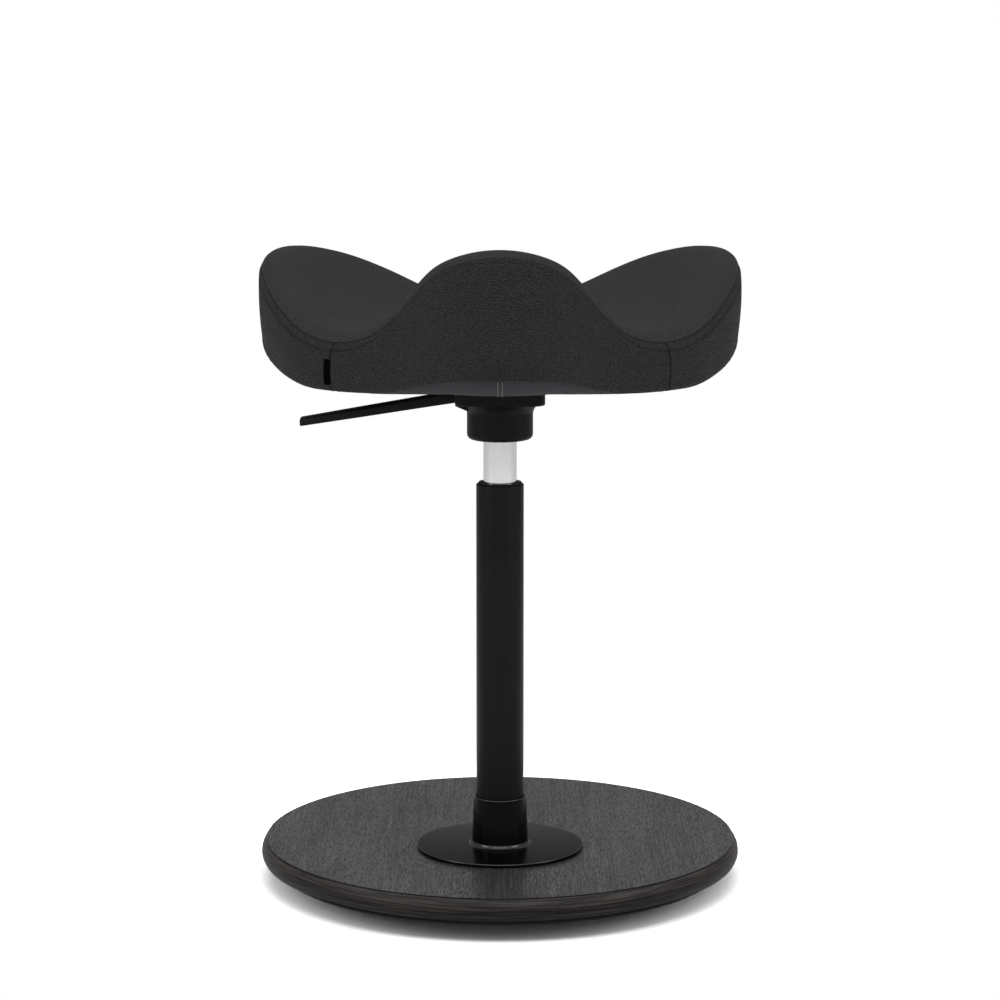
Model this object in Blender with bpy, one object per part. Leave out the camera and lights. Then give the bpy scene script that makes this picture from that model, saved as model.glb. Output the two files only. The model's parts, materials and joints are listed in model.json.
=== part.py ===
# Sit-stand stool with a three-lobed saddle seat on a gas column and a round rocking base.
# Metres, +Z up. The origin is the middle of the base on the floor; -Y is the front of the stool.
import bpy
import bmesh
from math import cos, degrees, exp, hypot, pi, radians, sin, sqrt
from mathutils import Vector
from mathutils.bvhtree import BVHTree

# Fits shared by all pieces
GAP = 0.0003             # air left between two pieces that touch
THREAD_PLAY = 0.0004     # radial room of a screw in its hole
CUT_OVERSHOOT = 0.0100   # how far a cutting tool reaches past the face it opens
BASE_STEPS = 64          # facets around the base
COLUMN_STEPS = 40        # facets around the column

# Base
BASE_RADIUS = 0.2575
BASE_HEIGHT = 0.0458     # floor to the top of the board
EDGE_BULGE = 0.0063      # how far the board's edge swells past its top face
EDGE_UNDERCUT = 0.0040
EDGE_MIDDLE = 0.0320     # height of the widest line of the edge
RIM_LIFT = 0.0170        # the rim hangs this far above the floor
RIM_INSET = 0.0045
SOLE_RADIUS = 0.1100     # flat part that stands on the floor
TREAD_THICKNESS = 0.0050

# Foot socket
COLUMN_OFFSET = 0.0525   # the column stands this far in front of the base's middle
FLANGE_RADIUS = 0.0882
FLANGE_THICKNESS = 0.0042
FLANGE_SEAT = 0.0006     # the flange is let into the board this deep
COLLAR_TOP = 0.1022
COLLAR_TOP_RADIUS = 0.0278
COLLAR_FOOT_RADIUS = 0.0298
COLLAR_FILLET = 0.0072
SOCKET_FLOOR = 0.0050
SPIGOT_DEPTH = 0.0335    # how far the socket reaches below the board's top
BOSS_RADIUS = 0.0090
BOSS_DEPTH = 0.0120
BASE_SCREW_CIRCLE = 0.0650
BASE_SCREW_RADIUS = 0.0038
BASE_SCREW_HEAD_RADIUS = 0.0075
BASE_SCREW_HEAD_HEIGHT = 0.0045
BASE_SCREW_SUNK = 0.0015   # head below the board's lower face
BASE_SCREW_SOCKET = 0.0025   # depth of the socket in the head
BASE_SCREW_REACH = 0.0100
SCREW_TIP_ROOM = 0.0010

# Column
TUBE_RADIUS = 0.0250
TUBE_WALL = 0.0020
TUBE_TOP = 0.4377
BUSH_LENGTH = 0.0780
BUSH_LIP_RISE = 0.0010   # the bush stands over the tube's top
BASE_PLATE_HEIGHT = 0.0120
BASE_PLATE_RECESS = 0.0080
BASE_PLATE_RECESS_RADIUS = 0.0120

# Gas spring
CYLINDER_RADIUS = 0.0175
CYLINDER_WALL = 0.0020
CYLINDER_BOTTOM = 0.1150
CYLINDER_TOP_DROP = 0.0147   # top of the cylinder below the seat's underside
CYLINDER_HEAD = 0.0180   # solid metal over the gas chamber
CYLINDER_LIP = 0.0012
TAPER_LENGTH = 0.0380
TAPER_SHRINK = 0.0014
ROD_RADIUS = 0.0050
PISTON_HEIGHT = 0.0160
PISTON_STOP_ROOM = 0.0052   # between piston and rod seal with the seat fully up
PISTON_SEAL_RADIUS = 0.0014
ROD_STUD_RADIUS = 0.0040
ROD_STUD_SPARE = 0.0025  # of the rod's thread past its nut
ROD_END_SPARE = 0.0015   # of the rod below its clip
PISTON_NUT_HEIGHT = 0.0050
PISTON_NUT_RADIUS = 0.0075
ROD_GUIDE_HEIGHT = 0.0200
ROD_SEAL_HEIGHT = 0.0040
VALVE_HEIGHT = 0.0220
DROP_TRAVEL = 0.0400     # the seat goes this far down from where it stands
RISE_TRAVEL = 0.2200     # and this far up

# Thrust bearing and rod end
RACE_RADIUS = 0.0125
RACE_THICKNESS = 0.0020
BALL_RADIUS = 0.0014
BALL_COUNT = 8
CAGE_THICKNESS = 0.0010
BUFFER_RADIUS = 0.0130
CLIP_THICKNESS = 0.0014
CLIP_RADIUS = 0.0085
CLIP_GROOVE = 0.0010
WASHER_THICKNESS = 0.0010

# Mechanism housing
HOUSING_HALF_WIDTH = 0.0466
HOUSING_HALF_DEPTH = 0.0600
HOUSING_CORNER = 0.0140
HOUSING_EDGE = 0.0016
HOUSING_PLATE = 0.0152   # thickness of the flange under the seat
CUP_RADIUS = 0.0346
CUP_HEIGHT = 0.0413      # below the flange
CUP_EDGE = 0.0055
CUP_FLARE = 0.0105
CHANNEL_HALF_WIDTH = 0.0085
CHANNEL_WALL = 0.0065
LEVER_BOSS_LIP = 0.0052    # the boss at the lever's mouth, below the flange
LEVER_BOSS_DROP = 0.0048   # and how much deeper it gets
LEVER_BOSS_RUN = 0.0114
LEVER_BOSS_LENGTH = 0.0140   # level part of the boss

# Lever
LEVER_PIVOT_REACH = 0.0300   # pivot to column axis
LEVER_PIVOT_DROP = 0.0094    # pivot below the seat's underside
LEVER_TIP_REACH = 0.2090
LEVER_TIP_DROP = 0.0387
LEVER_TIP_THICKNESS = 0.0084
LEVER_ROOT_THICKNESS = 0.0136
LEVER_TIP_HALF_WIDTH = 0.0110
LEVER_TIP_ROUNDING = 0.0017
LEVER_TIP_RINGS = ((0, 0.38, 0.82), (1, 0.47, 0.94))   # shares of rounding, thickness, half width
LEVER_SECTIONS = (0.978, 0.86, 0.66, 0.45, 0.25, 0.12, 0.0)   # shares of the lever's length
LEVER_ROOT_HALF_WIDTH = 0.0068
LEVER_NOSE_THICKNESS = 0.0060
LEVER_NOSE_REACH = 0.0060
LEVER_NOSE_RISE = 0.0022  # middle of the nose above the pivot
LEVER_SLACK = 0.0009     # room round the lever in its channel
CHANNEL_MOUTH_REACH = 0.0120   # how far the channel's tool runs out of the housing
CHANNEL_RAMP = 0.0100    # where the channel's floor has risen to the cylinder
CHANNEL_END_ROOM = 0.0040   # past the lever's nose
LEVER_PIN_RADIUS = 0.0030
LEVER_PIN_HALF_LENGTH = 0.0150
RELEASE_PIN_RADIUS = 0.0036
RELEASE_PIN_STROKE = 0.0031
PIN_END_ROOM = 0.0020    # from the pressed pin to the valve's lower face

# Seat
SEAT_ABOVE_TUBE = 0.1043   # the seat's underside above the tube's top, at rest
SEAT_CENTRE = -0.0103    # where the lobes radiate from, along Y
SEAT_RADIUS = 0.2210
LOBE_REACH = 0.0288      # three lobes
FLANK_REACH = 0.0199     # the two wings reach further than the front
WAIST_SHARPNESS = 0.0089
LOBE_ROUNDNESS = 0.0080
REAR_EXTENSION = 0.0016
RIM_MEAN_RISE = 0.0888   # of the top seam over the underside
LOBE_RISE = 0.0405
FRONT_REAR_RISE = 0.0013
FRONT_TILT = 0.0097
WAIST_RISE = 0.0069
LOBE_CREST = 0.0031
SHOULDER_RISE = 0.0028   # of the seam over both shoulders of the front horn
SHOULDER_SPAN = (17, 7.5)    # degrees from the front, and how wide
LOBE_LIFT = 0.0018       # of the rear lobes behind their crest
LOBE_SPAN = (134, 14)
WING_REACH = 0.0009      # of the rim at the widest places
WING_SPAN = (108, 30)
SADDLE_RISE = 0.0400     # lowest point of the saddle, before the crown
SADDLE_POWER = 2.6
CROWN_HEIGHT = 0.0112    # how far the padding stands over the top seam
CROWN_POWER = 22
CROWN_SLOPE_GAIN = 1.5   # the crown stands higher where the seam climbs
SIDE_BULGE = 0.0022      # of the side half way up
SIDE_TAPER = 0.0004      # how far the side draws in towards the curl
CURL_LOW_RISE = 0.0450   # above this rise of the seam the underside curls up
CURL_HEIGHT_RATE = 0.625
CURL_WIDTH_RATE = 1.45
CURL_LEAST_HEIGHT = 0.0100
CURL_LEAST_WIDTH = 0.0180
CURL_WIDEST = 0.60       # share of the radius
CURL_SQUARENESS = 2.6    # 2 is an ellipse
HEM_ANGLE = 10           # degrees up the curl where the leather ends
HEM_ARCH = 49            # extra at the front
HEM_ARCH_WIDTH = 55      # degrees around the front
SEAT_STEPS = 44          # facets around the seat
SIDE_SEAM_ANGLE = 7 * 360 / SEAT_STEPS   # degrees from the front to the side seams
SEAM_WIDTH = 0.0006
LEATHER = 0.0016
LINING = 0.0010
SHELL_THICKNESS = 0.0100
SHELL_TAPER = (1, 1, 1, 0.7, 0.5, 0.3)   # of the shell's thickness, out to its edge

# Seat fixings
BOLT_HALF_WIDTH = 0.0360
BOLT_HALF_DEPTH = 0.0450
BOLT_RADIUS = 0.0038
BOLT_HEAD_RADIUS = 0.0070
BOLT_HEAD_HEIGHT = 0.0042
BOLT_SOCKET = 0.0020
BOLT_TIP_SUNK = 0.0008   # tip below the shell's upper face
TEE_BARREL_RADIUS = 0.0056
TEE_FLANGE_RADIUS = 0.0100
TEE_FLANGE_THICKNESS = 0.0012

# Tag
TAG_WIDTH = 0.0080
TAG_HEIGHT = 0.0260
TAG_THICKNESS = 0.0006
TAG_DROP = 0.0180        # below the top seam

# Worked out from the above
SEAT_UNDERSIDE = TUBE_TOP + SEAT_ABOVE_TUBE
BOLT_REACH = hypot(BOLT_HALF_WIDTH, COLUMN_OFFSET + BOLT_HALF_DEPTH + SEAT_CENTRE)   # from the seat's middle
FLAT_REACH = BOLT_REACH + TEE_FLANGE_RADIUS   # flat underside needed for the seat's fixings
CYLINDER_TOP = SEAT_UNDERSIDE - CYLINDER_TOP_DROP
HOUSING_TOP = SEAT_UNDERSIDE - GAP
HOUSING_BOTTOM = HOUSING_TOP - HOUSING_PLATE
CUP_BOTTOM = HOUSING_BOTTOM - CUP_HEIGHT
BOARD_BOTTOM = TREAD_THICKNESS + GAP
SPIGOT_RADIUS = COLLAR_FOOT_RADIUS
SPIGOT_BOTTOM = BASE_HEIGHT - SPIGOT_DEPTH
FLANGE_BOTTOM = BASE_HEIGHT - FLANGE_SEAT + GAP
FLANGE_TOP = FLANGE_BOTTOM + FLANGE_THICKNESS
TUBE_BOTTOM = SPIGOT_BOTTOM + SOCKET_FLOOR + GAP
TUBE_BORE = TUBE_RADIUS - TUBE_WALL
PLATE_TOP = TUBE_BOTTOM + BASE_PLATE_HEIGHT
PLATE_CEILING = TUBE_BOTTOM + BASE_PLATE_RECESS
WASHER_TOP = PLATE_CEILING - GAP
CLIP_TOP = WASHER_TOP - WASHER_THICKNESS - GAP
RACE_BOTTOM = PLATE_TOP + GAP
CAGE_BOTTOM = RACE_BOTTOM + RACE_THICKNESS + GAP
UPPER_RACE_BOTTOM = CAGE_BOTTOM + 2 * BALL_RADIUS + GAP
BUFFER_BOTTOM = UPPER_RACE_BOTTOM + RACE_THICKNESS + GAP
BUFFER_TOP = CYLINDER_BOTTOM - DROP_TRAVEL - GAP
ROD_BOTTOM = CLIP_TOP - CLIP_THICKNESS - 2 * GAP - ROD_END_SPARE
CHAMBER_RADIUS = CYLINDER_RADIUS - CYLINDER_WALL
CHAMBER_TOP = CYLINDER_TOP - CYLINDER_HEAD
PISTON_RADIUS = CHAMBER_RADIUS - 2 * GAP
GUIDE_BOTTOM = CYLINDER_BOTTOM + CYLINDER_LIP + GAP
SEAL_BOTTOM = GUIDE_BOTTOM + ROD_GUIDE_HEIGHT + GAP
PISTON_BASE = SEAL_BOTTOM + ROD_SEAL_HEIGHT + RISE_TRAVEL + PISTON_STOP_ROOM
PISTON_TOP = PISTON_BASE + PISTON_HEIGHT
VALVE_TOP = CHAMBER_TOP - GAP
PIVOT_X = -LEVER_PIVOT_REACH
PIVOT_Z = SEAT_UNDERSIDE - LEVER_PIVOT_DROP
NOSE_BOTTOM = PIVOT_Z - LEVER_NOSE_THICKNESS / 2 + LEVER_NOSE_RISE
RELEASE_PIN_TOP = NOSE_BOTTOM - GAP
RELEASE_PIN_BOTTOM = VALVE_TOP - VALVE_HEIGHT + RELEASE_PIN_STROKE + PIN_END_ROOM


# Scene and materials

def clear_scene():
    for item in list(bpy.data.objects):
        bpy.data.objects.remove(item, do_unlink=True)


def make_material(name, colour, roughness, metallic=0.0):
    material = bpy.data.materials.new(name)
    material.use_nodes = True
    shader = material.node_tree.nodes["Principled BSDF"]
    shader.inputs["Base Color"].default_value = (*colour, 1.0)
    shader.inputs["Roughness"].default_value = roughness
    shader.inputs["Metallic"].default_value = metallic
    material.diffuse_color = (*colour, 1.0)
    return material


# Empties carry the joints

def make_axis(name, place, parent=None):
    axis = bpy.data.objects.new(name, None)
    axis.empty_display_size = 0.03
    bpy.context.scene.collection.objects.link(axis)
    put(axis, place, parent)
    return axis


def world_place(item):
    place = item.location.copy()
    while item.parent:
        item = item.parent
        place += item.location
    return place


def put(item, place, parent):
    item.parent = parent
    item.location = Vector(place) - (world_place(parent) if parent else Vector())


# Mesh helpers

def mesh_piece(name, points, faces, material, place, parent):
    mesh = bpy.data.meshes.new(name)
    mesh.from_pydata(points, [], faces)
    work = bmesh.new()
    work.from_mesh(mesh)
    bmesh.ops.recalc_face_normals(work, faces=work.faces)
    if work.calc_volume(signed=True) < 0:
        bmesh.ops.reverse_faces(work, faces=work.faces)
    work.to_mesh(mesh)
    work.free()
    mesh.shade_smooth()
    mesh.set_sharp_from_angle(angle=radians(32))
    piece = bpy.data.objects.new(name, mesh)
    bpy.context.scene.collection.objects.link(piece)
    put(piece, place, parent)
    if material:
        mesh.materials.append(material)
    return piece


def distinct(ids):
    return [ids[i] for i in range(len(ids)) if ids[i] != ids[i - 1]]


def revolve(profile, steps, closed=True, middle=(0, 0), base=0):
    """Points and faces of a profile of (radius, height) turned about a vertical line.
    A point on the axis becomes a single vertex. A closed profile comes back to its start."""
    points = []
    rows = []
    poles = {}
    for i in range(steps):
        row = []
        turn = 2 * pi * i / steps
        for k, (radius, height) in enumerate(profile):
            if radius < 1e-9:
                if k not in poles:
                    poles[k] = base + len(points)
                    points.append((middle[0], middle[1], height))
                row.append(poles[k])
            else:
                row.append(base + len(points))
                points.append((middle[0] + radius * cos(turn), middle[1] + radius * sin(turn), height))
        rows.append(row)
    spans = len(profile) if closed else len(profile) - 1
    faces = []
    for i in range(steps):
        here = rows[i]
        there = rows[(i + 1) % steps]
        for k in range(spans):
            n = (k + 1) % len(profile)
            face = distinct([here[k], here[n], there[n], there[k]])
            if len(face) > 2:
                faces.append(face)
    return points, faces


def turned(name, profile, steps, material, place, parent):
    open_ends = profile[0][0] < 1e-9 and profile[-1][0] < 1e-9
    points, faces = revolve(profile, steps, closed=not open_ends)
    return mesh_piece(name, points, faces, material, place, parent)


def turned_set(name, profiles, steps, parent, place=(0, 0, 0)):
    """Several turned bodies in one mesh, each a (profile, middle) pair: a tool for Booleans."""
    points = []
    faces = []
    for profile, middle in profiles:
        more_points, more_faces = revolve(profile, steps, False, middle, len(points))
        points += more_points
        faces += more_faces
    return mesh_piece(name, points, faces, None, place, parent)


def plug(radius, low, high):
    return [(0, low), (radius, low), (radius, high), (0, high)]


def wrapped_faces(steps, around):
    """Faces of a ring whose section has so many points, both closed on themselves."""
    faces = []
    for i in range(steps):
        n = (i + 1) % steps
        for k in range(around):
            m = (k + 1) % around
            faces.append([i * around + k, i * around + m, n * around + m, n * around + k])
    return faces


def loft(name, rings, material, place, parent):
    count = len(rings[0])
    points = [point for ring in rings for point in ring]
    faces = []
    for j in range(len(rings) - 1):
        for i in range(count):
            n = (i + 1) % count
            faces.append([j * count + i, j * count + n, (j + 1) * count + n, (j + 1) * count + i])
    faces.append(list(range(count)))
    faces.append(list(range((len(rings) - 1) * count, len(rings) * count)))
    return mesh_piece(name, points, faces, material, place, parent)


def shaped(piece, tool, operation):
    """Adds a Boolean and turns the tool into a hidden guide."""
    modifier = piece.modifiers.new(tool.name, "BOOLEAN")
    modifier.operation = operation
    modifier.solver = "EXACT"
    modifier.object = tool
    tool.hide_render = True
    tool.display_type = "WIRE"
    return piece


def rounded_outline(half_width, half_depth, corner, steps):
    outline = []
    for quarter in range(4):
        across = 1 if quarter in (0, 3) else -1
        along = 1 if quarter < 2 else -1
        for i in range(steps + 1):
            turn = radians(90 * quarter + 90 * i / steps)
            outline.append((across * (half_width - corner) + corner * cos(turn),
                            along * (half_depth - corner) + corner * sin(turn)))
    return outline


# Base: laminated board, rubber tread and foot socket

def sole_height(radius):
    rim = BASE_RADIUS - RIM_INSET
    if radius <= SOLE_RADIUS:
        return 0.0
    return RIM_LIFT * ((radius - SOLE_RADIUS) / (rim - SOLE_RADIUS)) ** 2


def sole_curve(rise, reach, steps=4):
    start = [(0, rise), (SOLE_RADIUS, rise)]
    span = reach - SOLE_RADIUS
    return start + [(SOLE_RADIUS + span * i / steps, rise + sole_height(SOLE_RADIUS + span * i / steps))
                    for i in range(1, steps + 1)]


def edge_radius(height, low):
    if height > EDGE_MIDDLE:
        return BASE_RADIUS - EDGE_BULGE * ((height - EDGE_MIDDLE) / (BASE_HEIGHT - EDGE_MIDDLE)) ** 2
    return BASE_RADIUS - EDGE_UNDERCUT * ((EDGE_MIDDLE - height) / (EDGE_MIDDLE - low)) ** 2


def base_screw_places():
    reach = BASE_SCREW_CIRCLE * sqrt(0.5)
    return [(x * reach, -COLUMN_OFFSET + y * reach) for x in (-1, 1) for y in (-1, 1)]


def make_base_board(material, parent):
    rim = BASE_RADIUS - RIM_INSET - 0.0010
    profile = sole_curve(BOARD_BOTTOM, rim)
    low = profile[-1][1]
    steps = 5
    for i in range(1, steps + 1):
        height = low + (BASE_HEIGHT - low) * i / steps
        profile.append((edge_radius(height, low), height))
    profile.append((0, BASE_HEIGHT))
    board = turned("base_board", profile, BASE_STEPS, material, (0, 0, 0), parent)
    open_top = BASE_HEIGHT + CUT_OVERSHOOT
    spigot = SPIGOT_RADIUS + GAP
    flange = FLANGE_RADIUS + GAP
    flange_floor = BASE_HEIGHT - FLANGE_SEAT
    seat = [(0, SPIGOT_BOTTOM - GAP), (spigot, SPIGOT_BOTTOM - GAP), (spigot, flange_floor),
            (flange, flange_floor), (flange, open_top), (0, open_top)]
    pocket = turned_set("base_board_pocket", [(seat, (0, -COLUMN_OFFSET))], COLUMN_STEPS, parent)
    shaped(board, pocket, "DIFFERENCE")
    head_top = BOARD_BOTTOM + BASE_SCREW_SUNK + BASE_SCREW_HEAD_HEIGHT + GAP
    boss_floor = BASE_HEIGHT - BOSS_DEPTH - GAP
    head = BASE_SCREW_HEAD_RADIUS + THREAD_PLAY
    shank = BASE_SCREW_RADIUS + THREAD_PLAY
    hole = [(0, -CUT_OVERSHOOT), (head, -CUT_OVERSHOOT), (head, head_top), (shank, head_top),
            (shank, boss_floor), (BOSS_RADIUS + GAP, boss_floor), (BOSS_RADIUS + GAP, open_top), (0, open_top)]
    holes = turned_set("base_board_holes", [(hole, p) for p in base_screw_places()], 16, parent)
    return shaped(board, holes, "DIFFERENCE")


def make_base_tread(material, parent):
    rim = BASE_RADIUS - RIM_INSET
    under = sole_curve(0.0, rim)
    under[-1] = (rim - 0.0012, under[-1][1])
    over = sole_curve(TREAD_THICKNESS, rim)
    under.append((rim, over[-1][1] - TREAD_THICKNESS + 0.0012))
    return turned("base_tread", under + over[::-1], BASE_STEPS, material, (0, 0, 0), parent)


def make_foot_socket(material, parent):
    bore = TUBE_RADIUS + GAP
    floor_top = SPIGOT_BOTTOM + SOCKET_FLOOR
    edge = 0.0010
    profile = [(0, SPIGOT_BOTTOM), (SPIGOT_RADIUS, SPIGOT_BOTTOM), (SPIGOT_RADIUS, FLANGE_BOTTOM),
               (FLANGE_RADIUS - edge, FLANGE_BOTTOM), (FLANGE_RADIUS, FLANGE_BOTTOM + edge),
               (FLANGE_RADIUS, FLANGE_TOP - edge), (FLANGE_RADIUS - edge, FLANGE_TOP)]
    for i in range(5):
        turn = radians(90 * i / 4)
        profile.append((COLLAR_FOOT_RADIUS + COLLAR_FILLET * (1 - sin(turn)),
                        FLANGE_TOP + COLLAR_FILLET * (1 - cos(turn))))
    profile += [(COLLAR_TOP_RADIUS, COLLAR_TOP - edge), (COLLAR_TOP_RADIUS - edge, COLLAR_TOP),
                (bore + edge / 2, COLLAR_TOP), (bore, COLLAR_TOP - edge / 2), (bore, floor_top), (0, floor_top)]
    socket = turned("foot_socket", profile, COLUMN_STEPS, material, (0, -COLUMN_OFFSET, 0), parent)
    boss = plug(BOSS_RADIUS, BASE_HEIGHT - BOSS_DEPTH, FLANGE_TOP - 0.0008)
    bosses = turned_set("foot_socket_bosses", [(boss, p) for p in base_screw_places()], 16, parent)
    shaped(socket, bosses, "UNION")
    hole = plug(BASE_SCREW_RADIUS + THREAD_PLAY, BASE_HEIGHT - BOSS_DEPTH - CUT_OVERSHOOT,
                BASE_HEIGHT - BOSS_DEPTH + BASE_SCREW_REACH + SCREW_TIP_ROOM)
    holes = turned_set("foot_socket_holes", [(hole, p) for p in base_screw_places()], 12, parent)
    return shaped(socket, holes, "DIFFERENCE")


def make_base_screws(material, parent):
    low = BOARD_BOTTOM + BASE_SCREW_SUNK
    shoulder = low + BASE_SCREW_HEAD_HEIGHT
    tip = BASE_HEIGHT - BOSS_DEPTH + BASE_SCREW_REACH
    socket_radius = BASE_SCREW_HEAD_RADIUS * 0.4
    profile = [(0, low + BASE_SCREW_SOCKET), (socket_radius, low + BASE_SCREW_SOCKET), (socket_radius, low),
               (BASE_SCREW_HEAD_RADIUS - 0.0008, low), (BASE_SCREW_HEAD_RADIUS, low + 0.0008),
               (BASE_SCREW_HEAD_RADIUS, shoulder), (BASE_SCREW_RADIUS, shoulder),
               (BASE_SCREW_RADIUS, tip), (0, tip)]
    for number, (x, y) in enumerate(base_screw_places(), 1):
        turned(f"base_screw_{number}", profile, 12, material, (x, y, 0), parent)


# Column tube and what is pressed into it

def make_column_tube(material, parent):
    edge = 0.0008
    profile = [(TUBE_BORE, TUBE_BOTTOM), (TUBE_RADIUS - edge, TUBE_BOTTOM), (TUBE_RADIUS, TUBE_BOTTOM + edge),
               (TUBE_RADIUS, TUBE_TOP - 1.5 * edge), (TUBE_RADIUS - 0.4 * edge, TUBE_TOP - 0.4 * edge),
               (TUBE_RADIUS - 1.5 * edge, TUBE_TOP), (TUBE_BORE, TUBE_TOP)]
    return turned("column_tube", profile, COLUMN_STEPS, material, (0, -COLUMN_OFFSET, 0), parent)


def make_guide_bush(material, parent):
    outer = TUBE_BORE - GAP
    bore = CYLINDER_RADIUS + GAP
    top = TUBE_TOP + BUSH_LIP_RISE
    low = top - BUSH_LENGTH
    lead = 0.0010
    profile = [(bore + lead, low), (outer, low), (outer, top), (bore + lead, top), (bore, top - lead),
               (bore, low + lead)]
    return turned("guide_bush", profile, COLUMN_STEPS, material, (0, -COLUMN_OFFSET, 0), parent)


def make_tube_base_plate(material, parent):
    outer = TUBE_BORE - GAP
    hole = ROD_RADIUS + 2 * GAP
    profile = [(BASE_PLATE_RECESS_RADIUS, TUBE_BOTTOM), (outer, TUBE_BOTTOM), (outer, PLATE_TOP),
               (hole, PLATE_TOP), (hole, PLATE_CEILING), (BASE_PLATE_RECESS_RADIUS, PLATE_CEILING)]
    return turned("tube_base_plate", profile, 24, material, (0, -COLUMN_OFFSET, 0), parent)


# Thrust bearing that the seat turns on

def ring_profile(inner, outer, low, high):
    return [(inner, low), (outer, low), (outer, high), (inner, high)]


def make_bearing(steel, cage_material, fixed, turning):
    hole = ROD_RADIUS + 2 * GAP
    lower = ring_profile(hole, RACE_RADIUS, RACE_BOTTOM, RACE_BOTTOM + RACE_THICKNESS)
    turned("bearing_lower_race", lower, 16, steel, (0, -COLUMN_OFFSET, 0), fixed)
    upper = ring_profile(hole, RACE_RADIUS, UPPER_RACE_BOTTOM, UPPER_RACE_BOTTOM + RACE_THICKNESS)
    turned("bearing_upper_race", upper, 16, steel, (0, -COLUMN_OFFSET, 0), turning)
    make_ball_cage(hole + 0.0010, RACE_RADIUS - 0.0010, cage_material, fixed)


def make_ball_cage(inner, outer, material, parent):
    """A flat cage that swells to a ball in each of its pockets."""
    middle = (inner + outer) / 2
    per_ball = 4
    steps = BALL_COUNT * per_ball
    across = [inner, middle - BALL_RADIUS, middle, middle + BALL_RADIUS, outer]
    points = []
    for i in range(steps):
        turn = 2 * pi * i / steps
        ball_turn = 2 * pi * round(i / per_ball) / BALL_COUNT
        for side in (-1, 1):
            for radius in across[::side]:
                away = hypot(radius * cos(turn) - middle * cos(ball_turn),
                             radius * sin(turn) - middle * sin(ball_turn))
                swell = sqrt(max(BALL_RADIUS ** 2 - away ** 2, 0))
                height = CAGE_BOTTOM + BALL_RADIUS + side * max(swell, CAGE_THICKNESS / 2)
                points.append((radius * cos(turn), radius * sin(turn), height))
    faces = wrapped_faces(steps, 2 * len(across))
    return mesh_piece("bearing_ball_cage", points, faces, material, (0, -COLUMN_OFFSET, 0), parent)


# Piston rod and what turns with it

def make_piston_rod(material, parent):
    groove = ROD_RADIUS - CLIP_GROOVE
    clip_low = CLIP_TOP - CLIP_THICKNESS - GAP
    clip_high = CLIP_TOP + GAP / 2
    stud_top = PISTON_TOP + PISTON_NUT_HEIGHT + ROD_STUD_SPARE
    profile = [(0, ROD_BOTTOM), (ROD_RADIUS, ROD_BOTTOM), (ROD_RADIUS, clip_low), (groove, clip_low),
               (groove, clip_high), (ROD_RADIUS, clip_high), (ROD_RADIUS, PISTON_BASE - GAP),
               (ROD_STUD_RADIUS, PISTON_BASE - GAP), (ROD_STUD_RADIUS, stud_top), (0, stud_top)]
    return turned("piston_rod", profile, 16, material, (0, -COLUMN_OFFSET, 0), parent)


def make_rod_end(steel, parent):
    clip = ring_profile(ROD_RADIUS - CLIP_GROOVE + GAP, CLIP_RADIUS, CLIP_TOP - CLIP_THICKNESS, CLIP_TOP)
    turned("rod_clip", clip, 16, steel, (0, -COLUMN_OFFSET, 0), parent)
    washer = ring_profile(ROD_RADIUS + GAP, BASE_PLATE_RECESS_RADIUS - 4 * GAP,
                          WASHER_TOP - WASHER_THICKNESS, WASHER_TOP)
    turned("rod_washer", washer, 16, steel, (0, -COLUMN_OFFSET, 0), parent)


def make_rubber_buffer(material, parent):
    bore = ROD_RADIUS + GAP
    middle = (BUFFER_BOTTOM + BUFFER_TOP) / 2
    waist = BUFFER_RADIUS * 0.84
    profile = [(bore, BUFFER_BOTTOM), (BUFFER_RADIUS, BUFFER_BOTTOM), (BUFFER_RADIUS, middle - 0.004),
               (waist, middle - 0.001), (waist, middle + 0.001), (BUFFER_RADIUS, middle + 0.004),
               (BUFFER_RADIUS - 0.001, BUFFER_TOP), (bore, BUFFER_TOP)]
    return turned("rubber_buffer", profile, 16, material, (0, -COLUMN_OFFSET, 0), parent)


def make_piston(metal, rubber, steel, parent):
    bore = ROD_STUD_RADIUS + GAP
    groove_floor = PISTON_RADIUS - 2 * PISTON_SEAL_RADIUS
    middle = (PISTON_BASE + PISTON_TOP) / 2
    half = PISTON_SEAL_RADIUS + GAP
    profile = [(bore, PISTON_BASE), (PISTON_RADIUS, PISTON_BASE), (PISTON_RADIUS, middle - half),
               (groove_floor, middle - half), (groove_floor, middle + half), (PISTON_RADIUS, middle + half),
               (PISTON_RADIUS, PISTON_TOP), (bore, PISTON_TOP)]
    turned("piston", profile, 24, metal, (0, -COLUMN_OFFSET, 0), parent)
    seal = [(groove_floor + PISTON_SEAL_RADIUS + GAP + (PISTON_SEAL_RADIUS + GAP / 2) * cos(2 * pi * i / 6),
             middle + PISTON_SEAL_RADIUS * sin(2 * pi * i / 6)) for i in range(6)]
    turned("piston_seal", seal, 24, rubber, (0, -COLUMN_OFFSET, 0), parent)
    make_piston_nut(bore, steel, parent)


def make_piston_nut(bore, material, parent):
    """Six flats outside, a round bore inside."""
    low = PISTON_TOP + GAP
    steps = 12
    points = []
    for i in range(steps):
        turn = 2 * pi * i / steps
        outer = PISTON_NUT_RADIUS * (cos(pi / 6) if i % 2 else 1)
        for radius, height in ring_profile(bore, outer, low, low + PISTON_NUT_HEIGHT):
            points.append((radius * cos(turn), radius * sin(turn), height))
    return mesh_piece("piston_nut", points, wrapped_faces(steps, 4), material, (0, -COLUMN_OFFSET, 0), parent)


# Gas cylinder that carries the seat

def cylinder_outside(height):
    taper_start = CYLINDER_TOP - TAPER_LENGTH
    if height <= taper_start:
        return CYLINDER_RADIUS
    return CYLINDER_RADIUS - TAPER_SHRINK * (height - taper_start) / TAPER_LENGTH


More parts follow.
